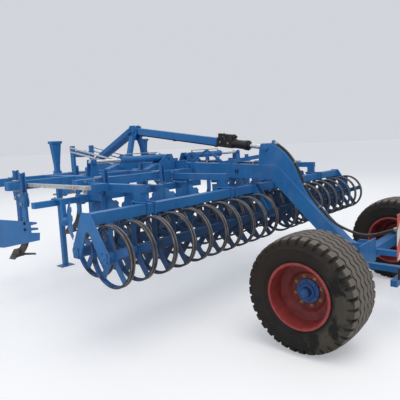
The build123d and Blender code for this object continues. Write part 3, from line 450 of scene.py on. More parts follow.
# shades: two shades and how fast they change; wear: edge width, amount
# dust: patch scale, settled, patches, height and amount of what is thrown up
paintLooks = {
    "bluePaint": {
        "shades": (*blueShades, 1.6), "streaks": 0.30, "grime": (0.030, 0.085, 0.19, 1), "chips": 0.75,
        "under": (0.13, 0.14, 0.16, 1), "wear": (0.006, 0.6), "gloss": 0.24, "grit": 0.12,
        "dust": (5.0, 0.28, 0.18, 0.70, 0.12), "dustColour": (0.27, 0.29, 0.31, 1),
    },
    "hubPaint": {
        "shades": ((0.016, 0.085, 0.27, 1), (0.024, 0.115, 0.33, 1), 9.0),
        "streaks": 0.35, "grime": (0.020, 0.040, 0.09, 1), "chips": 0.6,
        "under": (0.12, 0.12, 0.13, 1), "wear": (0.003, 0.45), "gloss": 0.3, "grit": 0.15,
        "dust": (16.0, 0.25, 0.30, 0.70, 0.10), "dustColour": (0.16, 0.14, 0.12, 1),
    },
    "blackPaint": {
        "shades": ((0.010, 0.010, 0.011, 1), (0.020, 0.020, 0.022, 1), 5.0),
        "streaks": 0.30, "grime": (0.045, 0.038, 0.032, 1), "chips": 0.6,
        "under": (0.14, 0.13, 0.12, 1), "wear": (0.003, 0.5), "gloss": 0.3, "grit": 0.15,
        "dust": (9.0, 0.25, 0.15, 0.60, 0.20), "dustColour": (0.20, 0.18, 0.16, 1),
    },
}


def makePaint(name):
    # sprayed machine paint with faded shades, rubbed edges and dust
    look = paintLooks[name]
    material, tree = startMaterial(name)
    place = coordinates(tree)["Object"]
    dust = fieldDust(tree, *look["dust"])
    stretched = groupNode(tree, "ShaderNodeMapping", {"Vector": place, "Scale": (13.0, 13.0, 1.5)}).outputs[0]
    streaks = noiseNode(tree, stretched, 1.0, 5.0)
    chips = noiseNode(tree, place, 26.0, 8.0, 0.68)
    colour = layerOn(
        tree, twoShades(tree, *look["shades"]),
        (rangeNode(tree, streaks, 0.52, 0.72, 0.0, look["streaks"]), look["grime"]),
        (rangeNode(tree, chips, 0.655, 0.685, 0.0, look["chips"]), look["under"]),
        (wornEdges(tree, *look["wear"], 30.0), look["under"]), (dust["Mask"], look["dustColour"]))
    return finishMaterial(material, {
        "Base Color": colour, "Roughness": rangeNode(tree, dust["Mask"], 0.0, 1.0, 0.44, 0.9),
        "Normal": bumpFrom(tree, dust["Grit"], look["grit"], 0.001),
        "Coat Roughness": 0.25, "Coat Weight": 0.04, "Specular IOR Level": look["gloss"],
    })


rimLook = {
    # dish: the recessed dish in a darker red as painted shade; lip: a lighter red as painted light
    "dish": ((0.150, 0.012, 0.011, 1), (0.225, 0.020, 0.017, 1), 7.0),
    "lip": ((0.31, 0.038, 0.038, 1), (0.43, 0.066, 0.064, 1), 11.0), "lipRadius": (0.245, 0.292),
    # grime: dirt in patches, with painted shade laid towards the hub
    "grime": (0.050, 0.022, 0.018, 1), "under": (0.10, 0.05, 0.04, 1), "wear": (0.004, 0.4, 26.0),
}


def makeRimPaint():
    # red wheel paint: dish darker as painted shade, lip lighter as painted light, dirt in patches with
    # painted shade thickening towards the hub
    look = rimLook
    material, tree = startMaterial("rimPaint")
    place = coordinates(tree)["Object"]
    radius = distanceFrom(tree, place, axleY, wheelRadius)
    film = noiseNode(tree, place, 13.0, 6.0)
    # dirt with painted shade, darker towards the hub
    grime = product(tree, rangeNode(tree, film, 0.44, 0.66), rangeNode(tree, radius, 0.30, 0.12, 0.25, 0.75))
    colour = layerOn(
        tree, twoShades(tree, *look["dish"]),
        # painted light: the lip in a lighter red than the dish
        (rangeNode(tree, radius, *look["lipRadius"]), twoShades(tree, *look["lip"])),
        (grime, look["grime"]), (wornEdges(tree, *look["wear"]), look["under"]))
    return finishMaterial(material, {
        "Base Color": colour, "Roughness": rangeNode(tree, film, 0.3, 0.7, 0.42, 0.72),
        "Normal": bumpFrom(tree, film, 0.2, 0.002),
    })


soilSteelLook = {
    "forging": ((0.020, 0.019, 0.020, 1), (0.060, 0.045, 0.036, 1), 8.0),
    # heights between which the paint begins and the rubbed steel ends
    "painted": (0.93, 0.99), "polished": (0.74, 0.62), "bright": (0.20, 0.19, 0.185, 1),
    "under": (0.17, 0.16, 0.16, 1), "wear": (0.006, 0.7, 26.0), "dust": (8.0, 0.3, 0.25, 0.9, 0.25),
}


def makeSoilSteel():
    # tine steel: dark forging, bright where the soil rubs it, soil left in patches
    look = soilSteelLook
    material, tree = startMaterial("soilSteel")
    place = coordinates(tree)["Object"]
    patch = noiseNode(tree, place, 9.0, 6.0)
    height = mathNode(tree, "ADD", partsOf(tree, place)["Z"], scaleShift(tree, patch, 0.24, -0.12))
    polished = rangeNode(tree, height, *look["polished"])
    bright = product(tree, polished, rangeNode(tree, patch, 0.42, 0.58), clamp=True)
    colour = layerOn(
        tree, twoShades(tree, *look["forging"]),
        (rangeNode(tree, height, *look["painted"]), twoShades(tree, *blueShades, 2.0)),
        (wornEdges(tree, *look["wear"]), look["under"]), (bright, look["bright"]),
        (fieldDust(tree, *look["dust"])["Mask"], soilColour))
    return finishMaterial(material, {
        "Base Color": colour, "Metallic": product(tree, bright, 0.7),
        "Roughness": rangeNode(tree, patch, 0.3, 0.7, 0.42, 0.75),
        "Normal": bumpFrom(tree, patch, 0.35, 0.002),
    })


rollerSteelLook = {
    # painted shade: the inner rings take the first, darker and greyer blue, the outer rings the second
    "shadedInner": ((0.014, 0.056, 0.150, 1), (0.028, 0.082, 0.185, 1), 3.0),
    "plainTone": ((0.018, 0.105, 0.30, 1), (0.030, 0.150, 0.39, 1), 3.0),
    "dark": ((0.014, 0.018, 0.030, 1), (0.050, 0.040, 0.036, 1), 9.0),
    # the ridges lighter with wear and a painted highlight
    "worn": ((0.060, 0.048, 0.042, 1), (0.30, 0.28, 0.265, 1), 12.0),
    # where the rims and their ridges begin, and where the outer rings keep the plain blue free of painted
    # shade
    "rim": (0.254, 0.266), "ridge": (0.2715, 0.2765, 0.0, 0.85), "outer": (1.95, 2.45),
    "soil": (0.058, 0.056, 0.058, 1), "under": (0.20, 0.17, 0.14, 1), "wear": (0.004, 0.5, 22.0),
}


def makeRollerSteel(name, distance):
    # ring rims run bare in the soil, the spokes and the shaft keep their paint, drawn darker on the inner
    # rings as painted shade
    look = rollerSteelLook
    material, tree = startMaterial(name)
    place = coordinates(tree)["Object"]
    radius = distanceFrom(tree, place, axleY + distance, rollerHeight)
    patch = noiseNode(tree, place, 14.0, 6.0)
    ragged = mathNode(tree, "ADD", radius, scaleShift(tree, patch, 0.05, -0.025))
    # painted shade: the blue darkens from the outer rings towards the middle
    outer = rangeNode(tree, mathNode(tree, "ABSOLUTE", partsOf(tree, place)["X"]), *look["outer"])
    # soil patches, laid thicker inward along with the painted shade
    soil = product(tree, rangeNode(tree, patch, 0.50, 0.64), rangeNode(tree, outer, 0.0, 1.0, 0.75, 0.35))
    colour = layerOn(
        tree, twoShades(tree, *look["shadedInner"]), (outer, twoShades(tree, *look["plainTone"])), (soil, look["soil"]),
        (rangeNode(tree, ragged, *look["rim"]), twoShades(tree, *look["dark"])),
        # ridge tops: wear with a painted highlight
        (rangeNode(tree, radius, *look["ridge"]), twoShades(tree, *look["worn"])),
        (wornEdges(tree, *look["wear"]), look["under"]))
    return finishMaterial(material, {
        "Base Color": colour, "Roughness": rangeNode(tree, patch, 0.3, 0.7, 0.42, 0.72),
        "Normal": bumpFrom(tree, patch, 0.25, 0.002),
    })


tyreLook = {
    "wall": ((0.008, 0.008, 0.008, 1), (0.017, 0.016, 0.015, 1), 5.0), "mud": (0.040, 0.033, 0.027, 1),
    "film": (0.034, 0.026, 0.022, 1), "dry": (0.090, 0.080, 0.064, 1),
    # ribs: dust and painted light on the rib tops
    "blocks": (0.070, 0.062, 0.052, 1), "ribs": (0.200, 0.176, 0.155, 1), "gloss": 0.22,
}


def makeTyreRubber(name, side):
    # dark side wall with a brown film above and grey dried mud below, pale blocks, rib tops pale with dust
    # and painted light, dark grooves
    look = tyreLook
    material, tree = startMaterial(name)
    place = coordinates(tree)["Object"]
    parts = partsOf(tree, place)
    radius = distanceFrom(tree, place, axleY, wheelRadius)
    fromX = mathNode(tree, "ABSOLUTE", mathNode(tree, "SUBTRACT", parts["X"], side * halfTrack))
    patch = noiseNode(tree, place, 5.5, 7.0, 0.62)
    fine = noiseNode(tree, place, 60.0, 4.0)
    mud = product(tree, rangeNode(tree, patch, 0.50, 0.58), rangeNode(tree, radius, 0.33, 0.44, 0.25, 0.85))
    # the last stop of the wheel left its dirt in two stretches of the wall
    forward = mathNode(tree, "SUBTRACT", parts["Y"], axleY)
    upward = mathNode(tree, "SUBTRACT", parts["Z"], wheelRadius)
    lean = mathNode(tree, "DIVIDE", mathNode(tree, "ADD", forward, upward), radius)
    film = product(tree, rangeNode(tree, lean, -0.2, 0.9), rangeNode(tree, patch, 0.36, 0.55, 0.25, 0.8))
    across = mathNode(tree, "SUBTRACT", product(tree, upward, -0.35), forward)
    across = mathNode(tree, "DIVIDE", across, radius)
    dry = product(tree, rangeNode(tree, across, 0.35, 0.95), rangeNode(tree, patch, 0.46, 0.53))
    dry = product(tree, dry, rangeNode(tree, radius, 0.31, 0.36, 0.0, 0.75))
    blocks = rangeNode(tree, radius, 0.488, 0.512)
    blocks = product(tree, blocks, rangeNode(tree, patch, 0.35, 0.65, 0.35, 0.85))
    crown = scaleShift(tree, mathNode(tree, "POWER", fromX, 2.0), -0.30, wheelRadius)
    # rib tops paler with dust and painted light
    ribs = rangeNode(tree, mathNode(tree, "SUBTRACT", radius, crown), -0.009, -0.003)
    ribs = product(tree, ribs, rangeNode(tree, fine, 0.3, 0.7, 0.72, 1.0))
    masks = {"mud": mud, "film": film, "dry": dry, "blocks": blocks, "ribs": ribs}
    layers = [(mask, look[key]) for key, mask in masks.items()]
    return finishMaterial(material, {
        "Base Color": layerOn(tree, twoShades(tree, *look["wall"]), *layers),
        "Roughness": rangeNode(tree, patch, 0.45, 0.60, 0.62, 0.92), "Specular IOR Level": look["gloss"],
        "Normal": bumpFrom(tree, fine, 0.3, 0.0015),
    })


def makeRodChrome():
    material, tree = startMaterial("rodChrome")
    film = noiseNode(tree, coordinates(tree)["Object"], 18.0, 5.0)
    stained = rangeNode(tree, film, 0.5, 0.8)
    return finishMaterial(material, {
        "Base Color": layerOn(tree, (0.72, 0.73, 0.75, 1), (stained, (0.50, 0.46, 0.40, 1))),
        "Roughness": rangeNode(tree, film, 0.35, 0.7, 0.14, 0.34), "Metallic": 1.0,
    })


boardLook = {
    # each: clean and dirty
    "pitch": 0.282, "red": ((0.60, 0.045, 0.022, 1), (0.44, 0.07, 0.045, 1)),
    "white": ((0.74, 0.73, 0.71, 1), (0.55, 0.52, 0.47, 1)),
    "back": ((0.38, 0.39, 0.40, 1), (0.26, 0.24, 0.22, 1)),
}


def makeBoardPanel():
    # slanting red and white warning stripes, with a dull back
    look = boardLook
    material, tree = startMaterial("boardPanel")
    place = coordinates(tree)
    parts = partsOf(tree, place["Object"])
    slant = mathNode(tree, "ADD", mathNode(tree, "ABSOLUTE", parts["X"]), parts["Z"])
    band = mathNode(tree, "FRACT", product(tree, slant, 1 / look["pitch"]))
    film = noiseNode(tree, place["Object"], 12.0, 5.0)
    dirt = rangeNode(tree, film, 0.4, 0.8)
    red, white, back = (layerOn(tree, look[key][0], (dirt, look[key][1])) for key in ("red", "white", "back"))
    rear = mathNode(tree, "GREATER_THAN", partsOf(tree, place["Normal"])["Y"], 0.5)
    return finishMaterial(material, {
        "Base Color": layerOn(tree, white, (mathNode(tree, "GREATER_THAN", band, 0.5), red), (rear, back)),
        "Roughness": rangeNode(tree, film, 0.3, 0.7, 0.30, 0.55),
    })


def makeLensPlastic(name, first, second):
    material, tree = startMaterial(name)
    inputs = {"Vector": coordinates(tree)["Object"], "Scale": 60.0, "Distortion": 0.2}
    ribs = groupNode(tree, "ShaderNodeTexWave", inputs, bands_direction="X").outputs["Fac"]
    dust = fieldDust(tree, 14.0, 0.5, 0.3, 0.7, 0.2)["Mask"]
    return finishMaterial(material, {
        "Base Color": layerOn(tree, first, (ribs, second), (dust, dustColour)),
        "Roughness": rangeNode(tree, dust, 0.0, 1.0, 0.18, 0.8), "Normal": bumpFrom(tree, ribs, 0.3, 0.001),
    })


def makeHoseRubber():
    material, tree = startMaterial("hoseRubber")
    scuff = noiseNode(tree, coordinates(tree)["Object"], 30.0, 5.0)
    dust = fieldDust(tree, 10.0, 0.25, 0.2, 0.8, 0.3)["Mask"]
    plainTone, scuffed = (0.010, 0.010, 0.011, 1), (0.028, 0.027, 0.027, 1)
    return finishMaterial(material, {
        "Base Color": layerOn(tree, plainTone, (scuff, scuffed), (dust, dustColour)),
        "Roughness": rangeNode(tree, scuff, 0.3, 0.7, 0.45, 0.65),
        "Normal": bumpFrom(tree, scuff, 0.3, 0.001),
    })


def makeZincPlate(name, bright, dull):
    # plated bolts and fittings with a rusty film
    material, tree = startMaterial(name)
    film = noiseNode(tree, coordinates(tree)["Object"], 40.0, 5.0)
    return finishMaterial(material, {
        "Base Color": layerOn(tree, bright, (rangeNode(tree, film, 0.4, 0.7), dull)),
        "Metallic": rangeNode(tree, film, 0.35, 0.65, 0.8, 0.3),
        "Roughness": rangeNode(tree, film, 0.3, 0.7, 0.35, 0.7),
    })


def makeBareSteel(name, paintedInside):
    # drawn bar without paint, with rust in patches; what lies nearer the middle than a limit is painted
    material, tree = startMaterial(name)
    place = coordinates(tree)["Object"]
    film = noiseNode(tree, place, 11.0, 6.0)
    rusty = rangeNode(tree, film, 0.55, 0.75)
    steel = layerOn(tree, (0.62, 0.62, 0.62, 1), (rusty, (0.30, 0.24, 0.19, 1)))
    across = mathNode(tree, "ABSOLUTE", partsOf(tree, place)["X"])
    bare = mathNode(tree, "GREATER_THAN", across, paintedInside)
    return finishMaterial(material, {
        "Base Color": layerOn(tree, twoShades(tree, *blueShades, 4.0), (bare, steel)),
        "Metallic": product(tree, bare, rangeNode(tree, film, 0.5, 0.7, 0.6, 0.15)),
        "Roughness": rangeNode(tree, film, 0.3, 0.7, 0.38, 0.70),
        "Normal": bumpFrom(tree, film, 0.2, 0.001),
    })


bluePaint, hubPaint, blackPaint = (makePaint(name) for name in paintLooks)
rimPaint = makeRimPaint()
bareSteel = makeBareSteel("bareSteel", -1.0)  # nothing lies nearer than this
sideRodSteel = makeBareSteel("sideRodSteel", 2.158)
soilSteel = makeSoilSteel()
rearRollerSteel = makeRollerSteel("rearRollerSteel", rollerAxles[0])
frontRollerSteel = makeRollerSteel("frontRollerSteel", rollerAxles[1])
tyreRubbers = {name: makeTyreRubber(f"{name}TyreRubber", side) for name, side in sides.items()}
rodChrome = makeRodChrome()
boardPanel = makeBoardPanel()
redLens = makeLensPlastic("redLens", (0.42, 0.012, 0.010, 1), (0.30, 0.008, 0.008, 1))
amberLens = makeLensPlastic("amberLens", (0.62, 0.22, 0.015, 1), (0.50, 0.16, 0.010, 1))
hoseRubber = makeHoseRubber()
yellowZinc = makeZincPlate("yellowZinc", (0.38, 0.28, 0.12, 1), (0.10, 0.065, 0.035, 1))
paleZinc = makeZincPlate("paleZinc", (0.52, 0.52, 0.51, 1), (0.20, 0.15, 0.11, 1))
print("materials made")

# hose from the gooseneck head to the left board: one length, medium stiff, goes back into the object
hoseLook = {
    "radius": 0.015, "length": 2.315,
    "points": [
        (0, 1.096, 1.864), (0, 1.003, 1.817), (0, 0.855, 1.678), (0, 0.752, 1.502), (0, 0.712, 1.380),
        (0, 0.592, 1.178), (0, 0.449, 1.038), (-0.060, 0.290, 0.915), (-0.160, 0.080, 0.868),
        (-0.310, -0.140, 0.862), (-0.450, -0.330, 0.920), (-0.545, -0.475, 0.985), (-0.570, -0.575, 1.025),
    ],
}


def makeHose():
    look = hoseLook
    hose = makeLine("hose_line", [at(*point) for point in look["points"]], look["radius"], 12, 5)
    hose.data.materials.append(hoseRubber)
    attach(hose, "carriage")
    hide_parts("hose_gooseneck")
    return hose


hosePiece = makeHose()
print("hose laid")

nodeFinish = {
    "lift_barrel": blackPaint, "lift_rod": rodChrome, "rear_lamps": redLens, "stay_bars": bareSteel,
    "strut_pipe": blackPaint, "valve_block": blackPaint, "hose_gooseneck": hoseRubber,
    "warning_board_left": boardPanel, "warning_board_right": boardPanel, "link_shaft": paleZinc,
}
for side in sides:
    nodeFinish[f"rim_{side}"] = rimPaint
    nodeFinish[f"hub_{side}"] = hubPaint
    nodeFinish[f"side_rod_{side}"] = sideRodSteel
    nodeFinish[f"tyre_{side}"] = tyreRubbers[side]
    nodeFinish[f"fold_rod_{side}"] = rodChrome
    nodeFinish[f"rear_roller_{side}"] = rearRollerSteel
    nodeFinish[f"front_roller_{side}"] = frontRollerSteel
    for row in ("front", "middle", "rear"):
        nodeFinish[f"tines_{row}_{side}"] = soilSteel
for name, node in nodes.items():
    finish = nodeFinish.get(name, bluePaint)
    if not node.material_slots:
        node.data.materials.append(finish)
    for materialSlot in node.material_slots:
        materialSlot.material = finish


# tyres: section, grooves and shoulder blocks
tyreShape = {
    "pitches": 36, "wave": 0.012, "grooveDepth": 0.018, "lugDepth": 0.022,
    # half section from the bead to the crown: distance out, radius, lug depth share, wave share
    "wall": [
        (0.204, 0.2888, 0, 0), (0.222, 0.2895, 0, 0), (0.2225, 0.311, 0, 0), (0.232, 0.324, 0, 0),
        (0.2405, 0.336, 0, 0), (0.2450, 0.3365, 0, 0), (0.2475, 0.342, 0, 0), (0.2460, 0.347, 0, 0),
        (0.2575, 0.372, 0, 0), (0.2660, 0.400, 0, 0), (0.2700, 0.428, 0, 0), (0.2735, 0.431, 0, 0),
        (0.2735, 0.437, 0, 0), (0.2695, 0.441, 0, 0), (0.2650, 0.458, 0, 0), (0.2645, 0.466, 0.25, 0),
        (0.2600, 0.478, 0.7, 0), (0.2530, 0.490, 1, 0), (0.2430, 0.502, 1, 0), (0.2300, 0.5125, 1, 0),
        (0.2180, 0.5170, 1, 0), (0.1950, 0.5205, 1, 0), (0.1700, 0.5235, 0.8, 0.6),
    ],
    "grooves": (0.1500, 0.0750, 0.0), "grooveHalf": 0.0115, "grooveFloor": 0.0080,
    "crownHalf": 0.195, "crownDrop": 0.0115, "ribSteps": (0.35, 0.65),
    # beyond the shoulder a notch also leans inwards, by this share of its depth
    "shoulder": 0.24, "lean": 0.5,
    # steps round one pitch: share of the pitch, depth of the notch between two blocks
    "steps": (
        (0.0, 0.3), (0.05, 1), (0.16, 1), (0.27, 1), (0.32, 0.3), (0.36, 0), (0.52, 0), (0.68, 0), (0.84, 0),
        (0.96, 0),
    ),
}


def crownRadius(out):
    return wheelRadius - tyreShape["crownDrop"] * (out / tyreShape["crownHalf"]) ** 2


def tyreColumns():
    shape = tyreShape
    half = list(shape["wall"])
    for index, place in enumerate(shape["grooves"]):
        top, floor = shape["grooveHalf"], shape["grooveFloor"]
        steps = [(place + top, 0.0), (place + floor, 1.0)]
        if place > 0:
            steps += [(place - floor, 1.0), (place - top, 0.0)]
        for out, deep in steps:
            half.append((out, crownRadius(out) - deep * shape["grooveDepth"], 0, 1))
        if place > 0:
            nextPlace = shape["grooves"][index + 1]
            for share in shape["ribSteps"]:
                out = place - top + (nextPlace + 2 * top - place) * share
                half.append((out, crownRadius(out), 0, 1))
    return half + [(-out, radius, lug, wave) for out, radius, lug, wave in reversed(half)]


def makeTyre(name, side):
    shape = tyreShape
    columns = tyreColumns()
    mesh = bmesh.new()
    rings = []
    for pitch in range(shape["pitches"]):
        for share, notch in shape["steps"]:
            ring = []
            for out, radius, lug, wave in columns:
                offset = 0.0 if out > 0 else 0.5
                phase = (pitch + share + offset) / shape["pitches"] * 2 * pi
                deep = lug * shape["lugDepth"] * notch
                level = radius - deep
                lean = shape["lean"] * deep if abs(out) > shape["shoulder"] else 0
                sideways = out - lean * (1 if out > 0 else -1)
                swing = wave * shape["wave"] * sin((share + offset) * 2 * pi)
                x = side * halfTrack + side * (sideways + swing)
                place = Vector((x, axleY + level * cos(phase), wheelRadius + level * sin(phase)))
                ring.append(mesh.verts.new(place))
            rings.append(ring)
    count = len(columns)
    for index, ring in enumerate(rings):
        following = rings[(index + 1) % len(rings)]
        for column in range(count):
            across = (column + 1) % count
            mesh.faces.new((ring[column], ring[across], following[across], following[column]))
    data = bpy.data.meshes.new(f"tread_{name}")
    mesh.to_mesh(data)
    mesh.free()
    tyre = bpy.data.objects.new(f"tread_{name}", data)
    bpy.context.scene.collection.objects.link(tyre)
    fixNormals(tyre)
    smoothEdges(tyre, 32)
    finishPiece(tyre, tyreRubbers[name], f"wheel_{name}")
    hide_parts(f"tyre_{name}")


for sideName, sideSign in sides.items():
    makeTyre(sideName, sideSign)
print("tyres made")


# bolts and nuts, one master for each size
boltShape = {"washer": 1.25, "washerThickness": 0.16, "head": 0.62, "shank": 0.34, "shankRadius": 0.52}


def makeBolt(radius):
    # hexagon nut on a washer, with the end of its stud, pointing along +Z
    shape = boltShape
    pieces = []
    washer = radius * shape["washerThickness"]
    head = radius * shape["head"]
    for corners, size, low, depth, chamfer in (
        (20, radius * shape["washer"], 0.0, washer, 0.1),
        (6, radius, washer, head, 0.16),
        (12, radius * shape["shankRadius"], washer + head, radius * shape["shank"], 0.25),
    ):
        deselectAll()
        middle = (0, 0, low + depth / 2)
        bpy.ops.mesh.primitive_cylinder_add(vertices=corners, radius=size, depth=depth, location=middle)
        piece = bpy.context.view_layer.objects.active
        selectFaces(piece, lambda centre, normal: normal.z > 0.9)
        bpy.ops.mesh.inset(thickness=size * chamfer * 0.5, depth=0)
        bpy.ops.transform.translate(value=(0, 0, size * chamfer * 0.25))
        bpy.ops.object.mode_set(mode="OBJECT")
        applyPlace(piece)
        pieces.append(piece)
    bolt = joinPieces("boltMaster", pieces)
    smoothEdges(bolt, 30)
    return bolt


boltMasters = {}


def placeBolts(name, places, radius, material, body):
    # places: rows of (point, direction)
    if radius not in boltMasters:
        boltMasters[radius] = makeBolt(radius)
    return finishJoined(name, copiesAt(boltMasters[radius], places), material, body)


def boltGrid(way, acrosses, distances, heights):
    # places of bolts that all face one way
    return [(at(x, distance, z), way) for x in acrosses for distance in distances for z in heights]


# wheels: nuts, hub flange, rim lip and valve, by height along the axle from the wheel's middle
wheelDetail = {
    "nuts": {"count": 8, "circle": 0.1375, "turn": 0.35, "radius": 0.0145, "face": 0.032},
    "hubBolts": {"count": 6, "circle": 0.090, "turn": 0.1, "radius": 0.0085, "face": 0.0455},
    "capBolts": {"count": 4, "circle": 0.026, "turn": 0.5, "radius": 0.0055, "face": 0.1235},
    "flange": [
        (0.0322, 0.0705), (0.0322, 0.1120), (0.0425, 0.1120), (0.0455, 0.1090), (0.0455, 0.0790),
        (0.0520, 0.0705),
    ],
    "lip": [
        (0.2230, 0.2900), (0.2230, 0.3010), (0.2250, 0.3038), (0.2282, 0.3050), (0.2314, 0.3038),
        (0.2334, 0.3010), (0.2334, 0.2830), (0.2318, 0.2830),
    ],
    "valve": [
        (0.0, 0.0075), (0.006, 0.0075), (0.010, 0.0050), (0.034, 0.0045), (0.035, 0.0058), (0.046, 0.0056),
        (0.048, 0.0040),
    ],
    # distance out, distance from the axle, turn
    "valvePlace": (0.098, 0.246, 2.3),
}
for sideName, sideSign in sides.items():
    detail = wheelDetail
    body = f"wheel_{sideName}"
    middle = Vector((sideSign * halfTrack, axleY, wheelRadius))
    outward = Vector((sideSign, 0, 0))
    for pieceName, material in (("nuts", yellowZinc), ("hubBolts", hubPaint), ("capBolts", hubPaint)):
        row = detail[pieceName]
        places = ringPlaces(middle + outward * row["face"], outward, row["count"], row["circle"], row["turn"])
        placeBolts(f"wheel_{pieceName}_{sideName}", places, row["radius"], material, body)
    places = [(middle, outward)]
    placeTurned(f"hub_flange_{sideName}", detail["flange"], 48, places, hubPaint, body)
    placeTurned(f"rim_lip_{sideName}", detail["lip"], 96, places, rimPaint, body, hollow=True)
    offset, circle, turn = detail["valvePlace"]
    places = [(middle + outward * offset + Vector((0, cos(turn), sin(turn))) * circle, outward)]
    placeTurned(f"valve_{sideName}", detail["valve"], 16, places, yellowZinc, body)
print("wheels dressed")


# tines: pivot bolts and the bolts round the row tubes
tineDetail = {
    "rows": {"front": 3.950, "middle": 3.200, "rear": 2.450},
    "places": [
        (0.150, "front"), (0.450, "middle"), (0.750, "rear"), (1.050, "front"),
        (1.350, "middle"), (1.650, "rear"), (1.950, "front"), (2.250, "middle"),
    ],
    # distance behind the row tube's middle, height
    "pivots": [(0.070, 1.390), (0.082, 1.290)],
    "cheek": 0.041, "pivotRadius": 0.016,
    "clampX": 0.044, "clampZ": (1.441, 1.559), "clampFront": 0.057, "clampRear": -0.074, "clampBar": 0.006,
    "plate": (0.112, 0.008, 0.132), "plateBehind": 0.055, "plateZ": 1.5,
    "nutRadius": 0.0095, "nutBehind": 0.060,
}


def makeTubeClamp(x, front, rear, low, high, radius, corner=0.018):
    # U-shaped bolt round a square tube, bent at its front; where the rear end lies ahead of the front, as on
    # the roller arms, the bar runs a corner's length past its bend and back
    points = [
        (rear, low), (front - corner, low), (front, low), (front, low + corner),
        (front, high - corner), (front, high), (front - corner, high), (rear, high),
    ]
    return makeBentBar([at(x, distance, z) for distance, z in points], radius)


for sideName, sideSign in sides.items():
    detail = tineDetail
    pivots, clamps, nuts, plates = [], [], [], []
    low, high = detail["clampZ"]
    for distance, row in detail["places"]:
        x = sideSign * distance
        rowPlace = detail["rows"][row]
        for face in (-1, 1):
            for behind, z in detail["pivots"]:
                pivots.append((at(x + face * detail["cheek"], rowPlace - behind, z), (face, 0, 0)))
            barX = x + face * detail["clampX"]
            front, rear = rowPlace + detail["clampFront"], rowPlace + detail["clampRear"]
            clamps.append(makeTubeClamp(barX, front, rear, low, high, detail["clampBar"]))
            nuts += boltGrid((0, -1, 0), (barX,), (rowPlace - detail["nutBehind"],), (low, high))
        plates.append(makeBlock(detail["plate"], at(x, rowPlace - detail["plateBehind"], detail["plateZ"])))
    body = f"wing_{sideName}"
    placeBolts(f"tine_pivots_{sideName}", pivots, detail["pivotRadius"], paleZinc, body)
    placeBolts(f"tine_nuts_{sideName}", nuts, detail["nutRadius"], paleZinc, body)
    finishJoined(f"tine_clamps_{sideName}", clamps, bareSteel, body)
    finishJoined(f"tine_plates_{sideName}", plates, bluePaint, body)
print("tines dressed")


# roller frames: bearing covers, flanges and clamps of the arms
rollerDetail = {
    "plateFace": 2.564,
    "cover": [(0.0, 0.040), (0.007, 0.040), (0.010, 0.036), (0.010, 0.018), (0.019, 0.015), (0.022, 0.009)],
    "coverBolts": 0.050, "coverBoltRadius": 0.0085,
    "arms": (0.500, 1.850), "boltRadius": 0.010,
    "flange": (0.150, 0.014, 0.140), "flangePlace": (2.393, 1.480), "flangeBolts": (0.058, 0.045),
    "clampPlate": (0.130, 0.012, 0.150), "clampPlace": (1.606, 1.280), "clampBar": 0.008, "clampX": 0.050,
    "clampFront": 1.391, "clampRear": 1.630, "clampZ": (1.221, 1.339),
}
for sideName, sideSign in sides.items():
    detail = rollerDetail
    body = f"wing_{sideName}"
    outward = (sideSign, 0, 0)
    centres = boltGrid(outward, (sideSign * detail["plateFace"],), rollerAxles, (rollerHeight,))
    placeTurned(f"bearing_covers_{sideName}", detail["cover"], 32, centres, bluePaint, body)
    places = []
    for centre, way in centres:
        places += ringPlaces(centre, way, 4, detail["coverBolts"], 0.5)
    placeBolts(f"bearing_bolts_{sideName}", places, detail["coverBoltRadius"], hubPaint, body)
    plates, places, clamps = [], [], []
    for arm in detail["arms"]:
        x = sideSign * arm
        distance, z = detail["flangePlace"]
        across, rise = detail["flangeBolts"]
        plates.append(makeBlock(detail["flange"], at(x, distance, z)))
        face = distance - detail["flange"][1] / 2
        places += boltGrid((0, -1, 0), (x - across, x + across), (face,), (z - rise, z + rise))
        distance, z = detail["clampPlace"]
        plates.append(makeBlock(detail["clampPlate"], at(x, distance, z)))
        face = distance + detail["clampPlate"][1] / 2
        front, rear, ends = detail["clampFront"], detail["clampRear"], detail["clampZ"]
        for barX in (x - detail["clampX"], x + detail["clampX"]):
            clamps.append(makeTubeClamp(barX, front, rear, *ends, detail["clampBar"]))
            places += boltGrid((0, 1, 0), (barX,), (face,), ends)
    placeBolts(f"arm_bolts_{sideName}", places, detail["boltRadius"], paleZinc, body)
    finishJoined(f"arm_plates_{sideName}", plates, bluePaint, body)
    finishJoined(f"arm_clamps_{sideName}", clamps, bluePaint, body)
print("roller frames dressed")


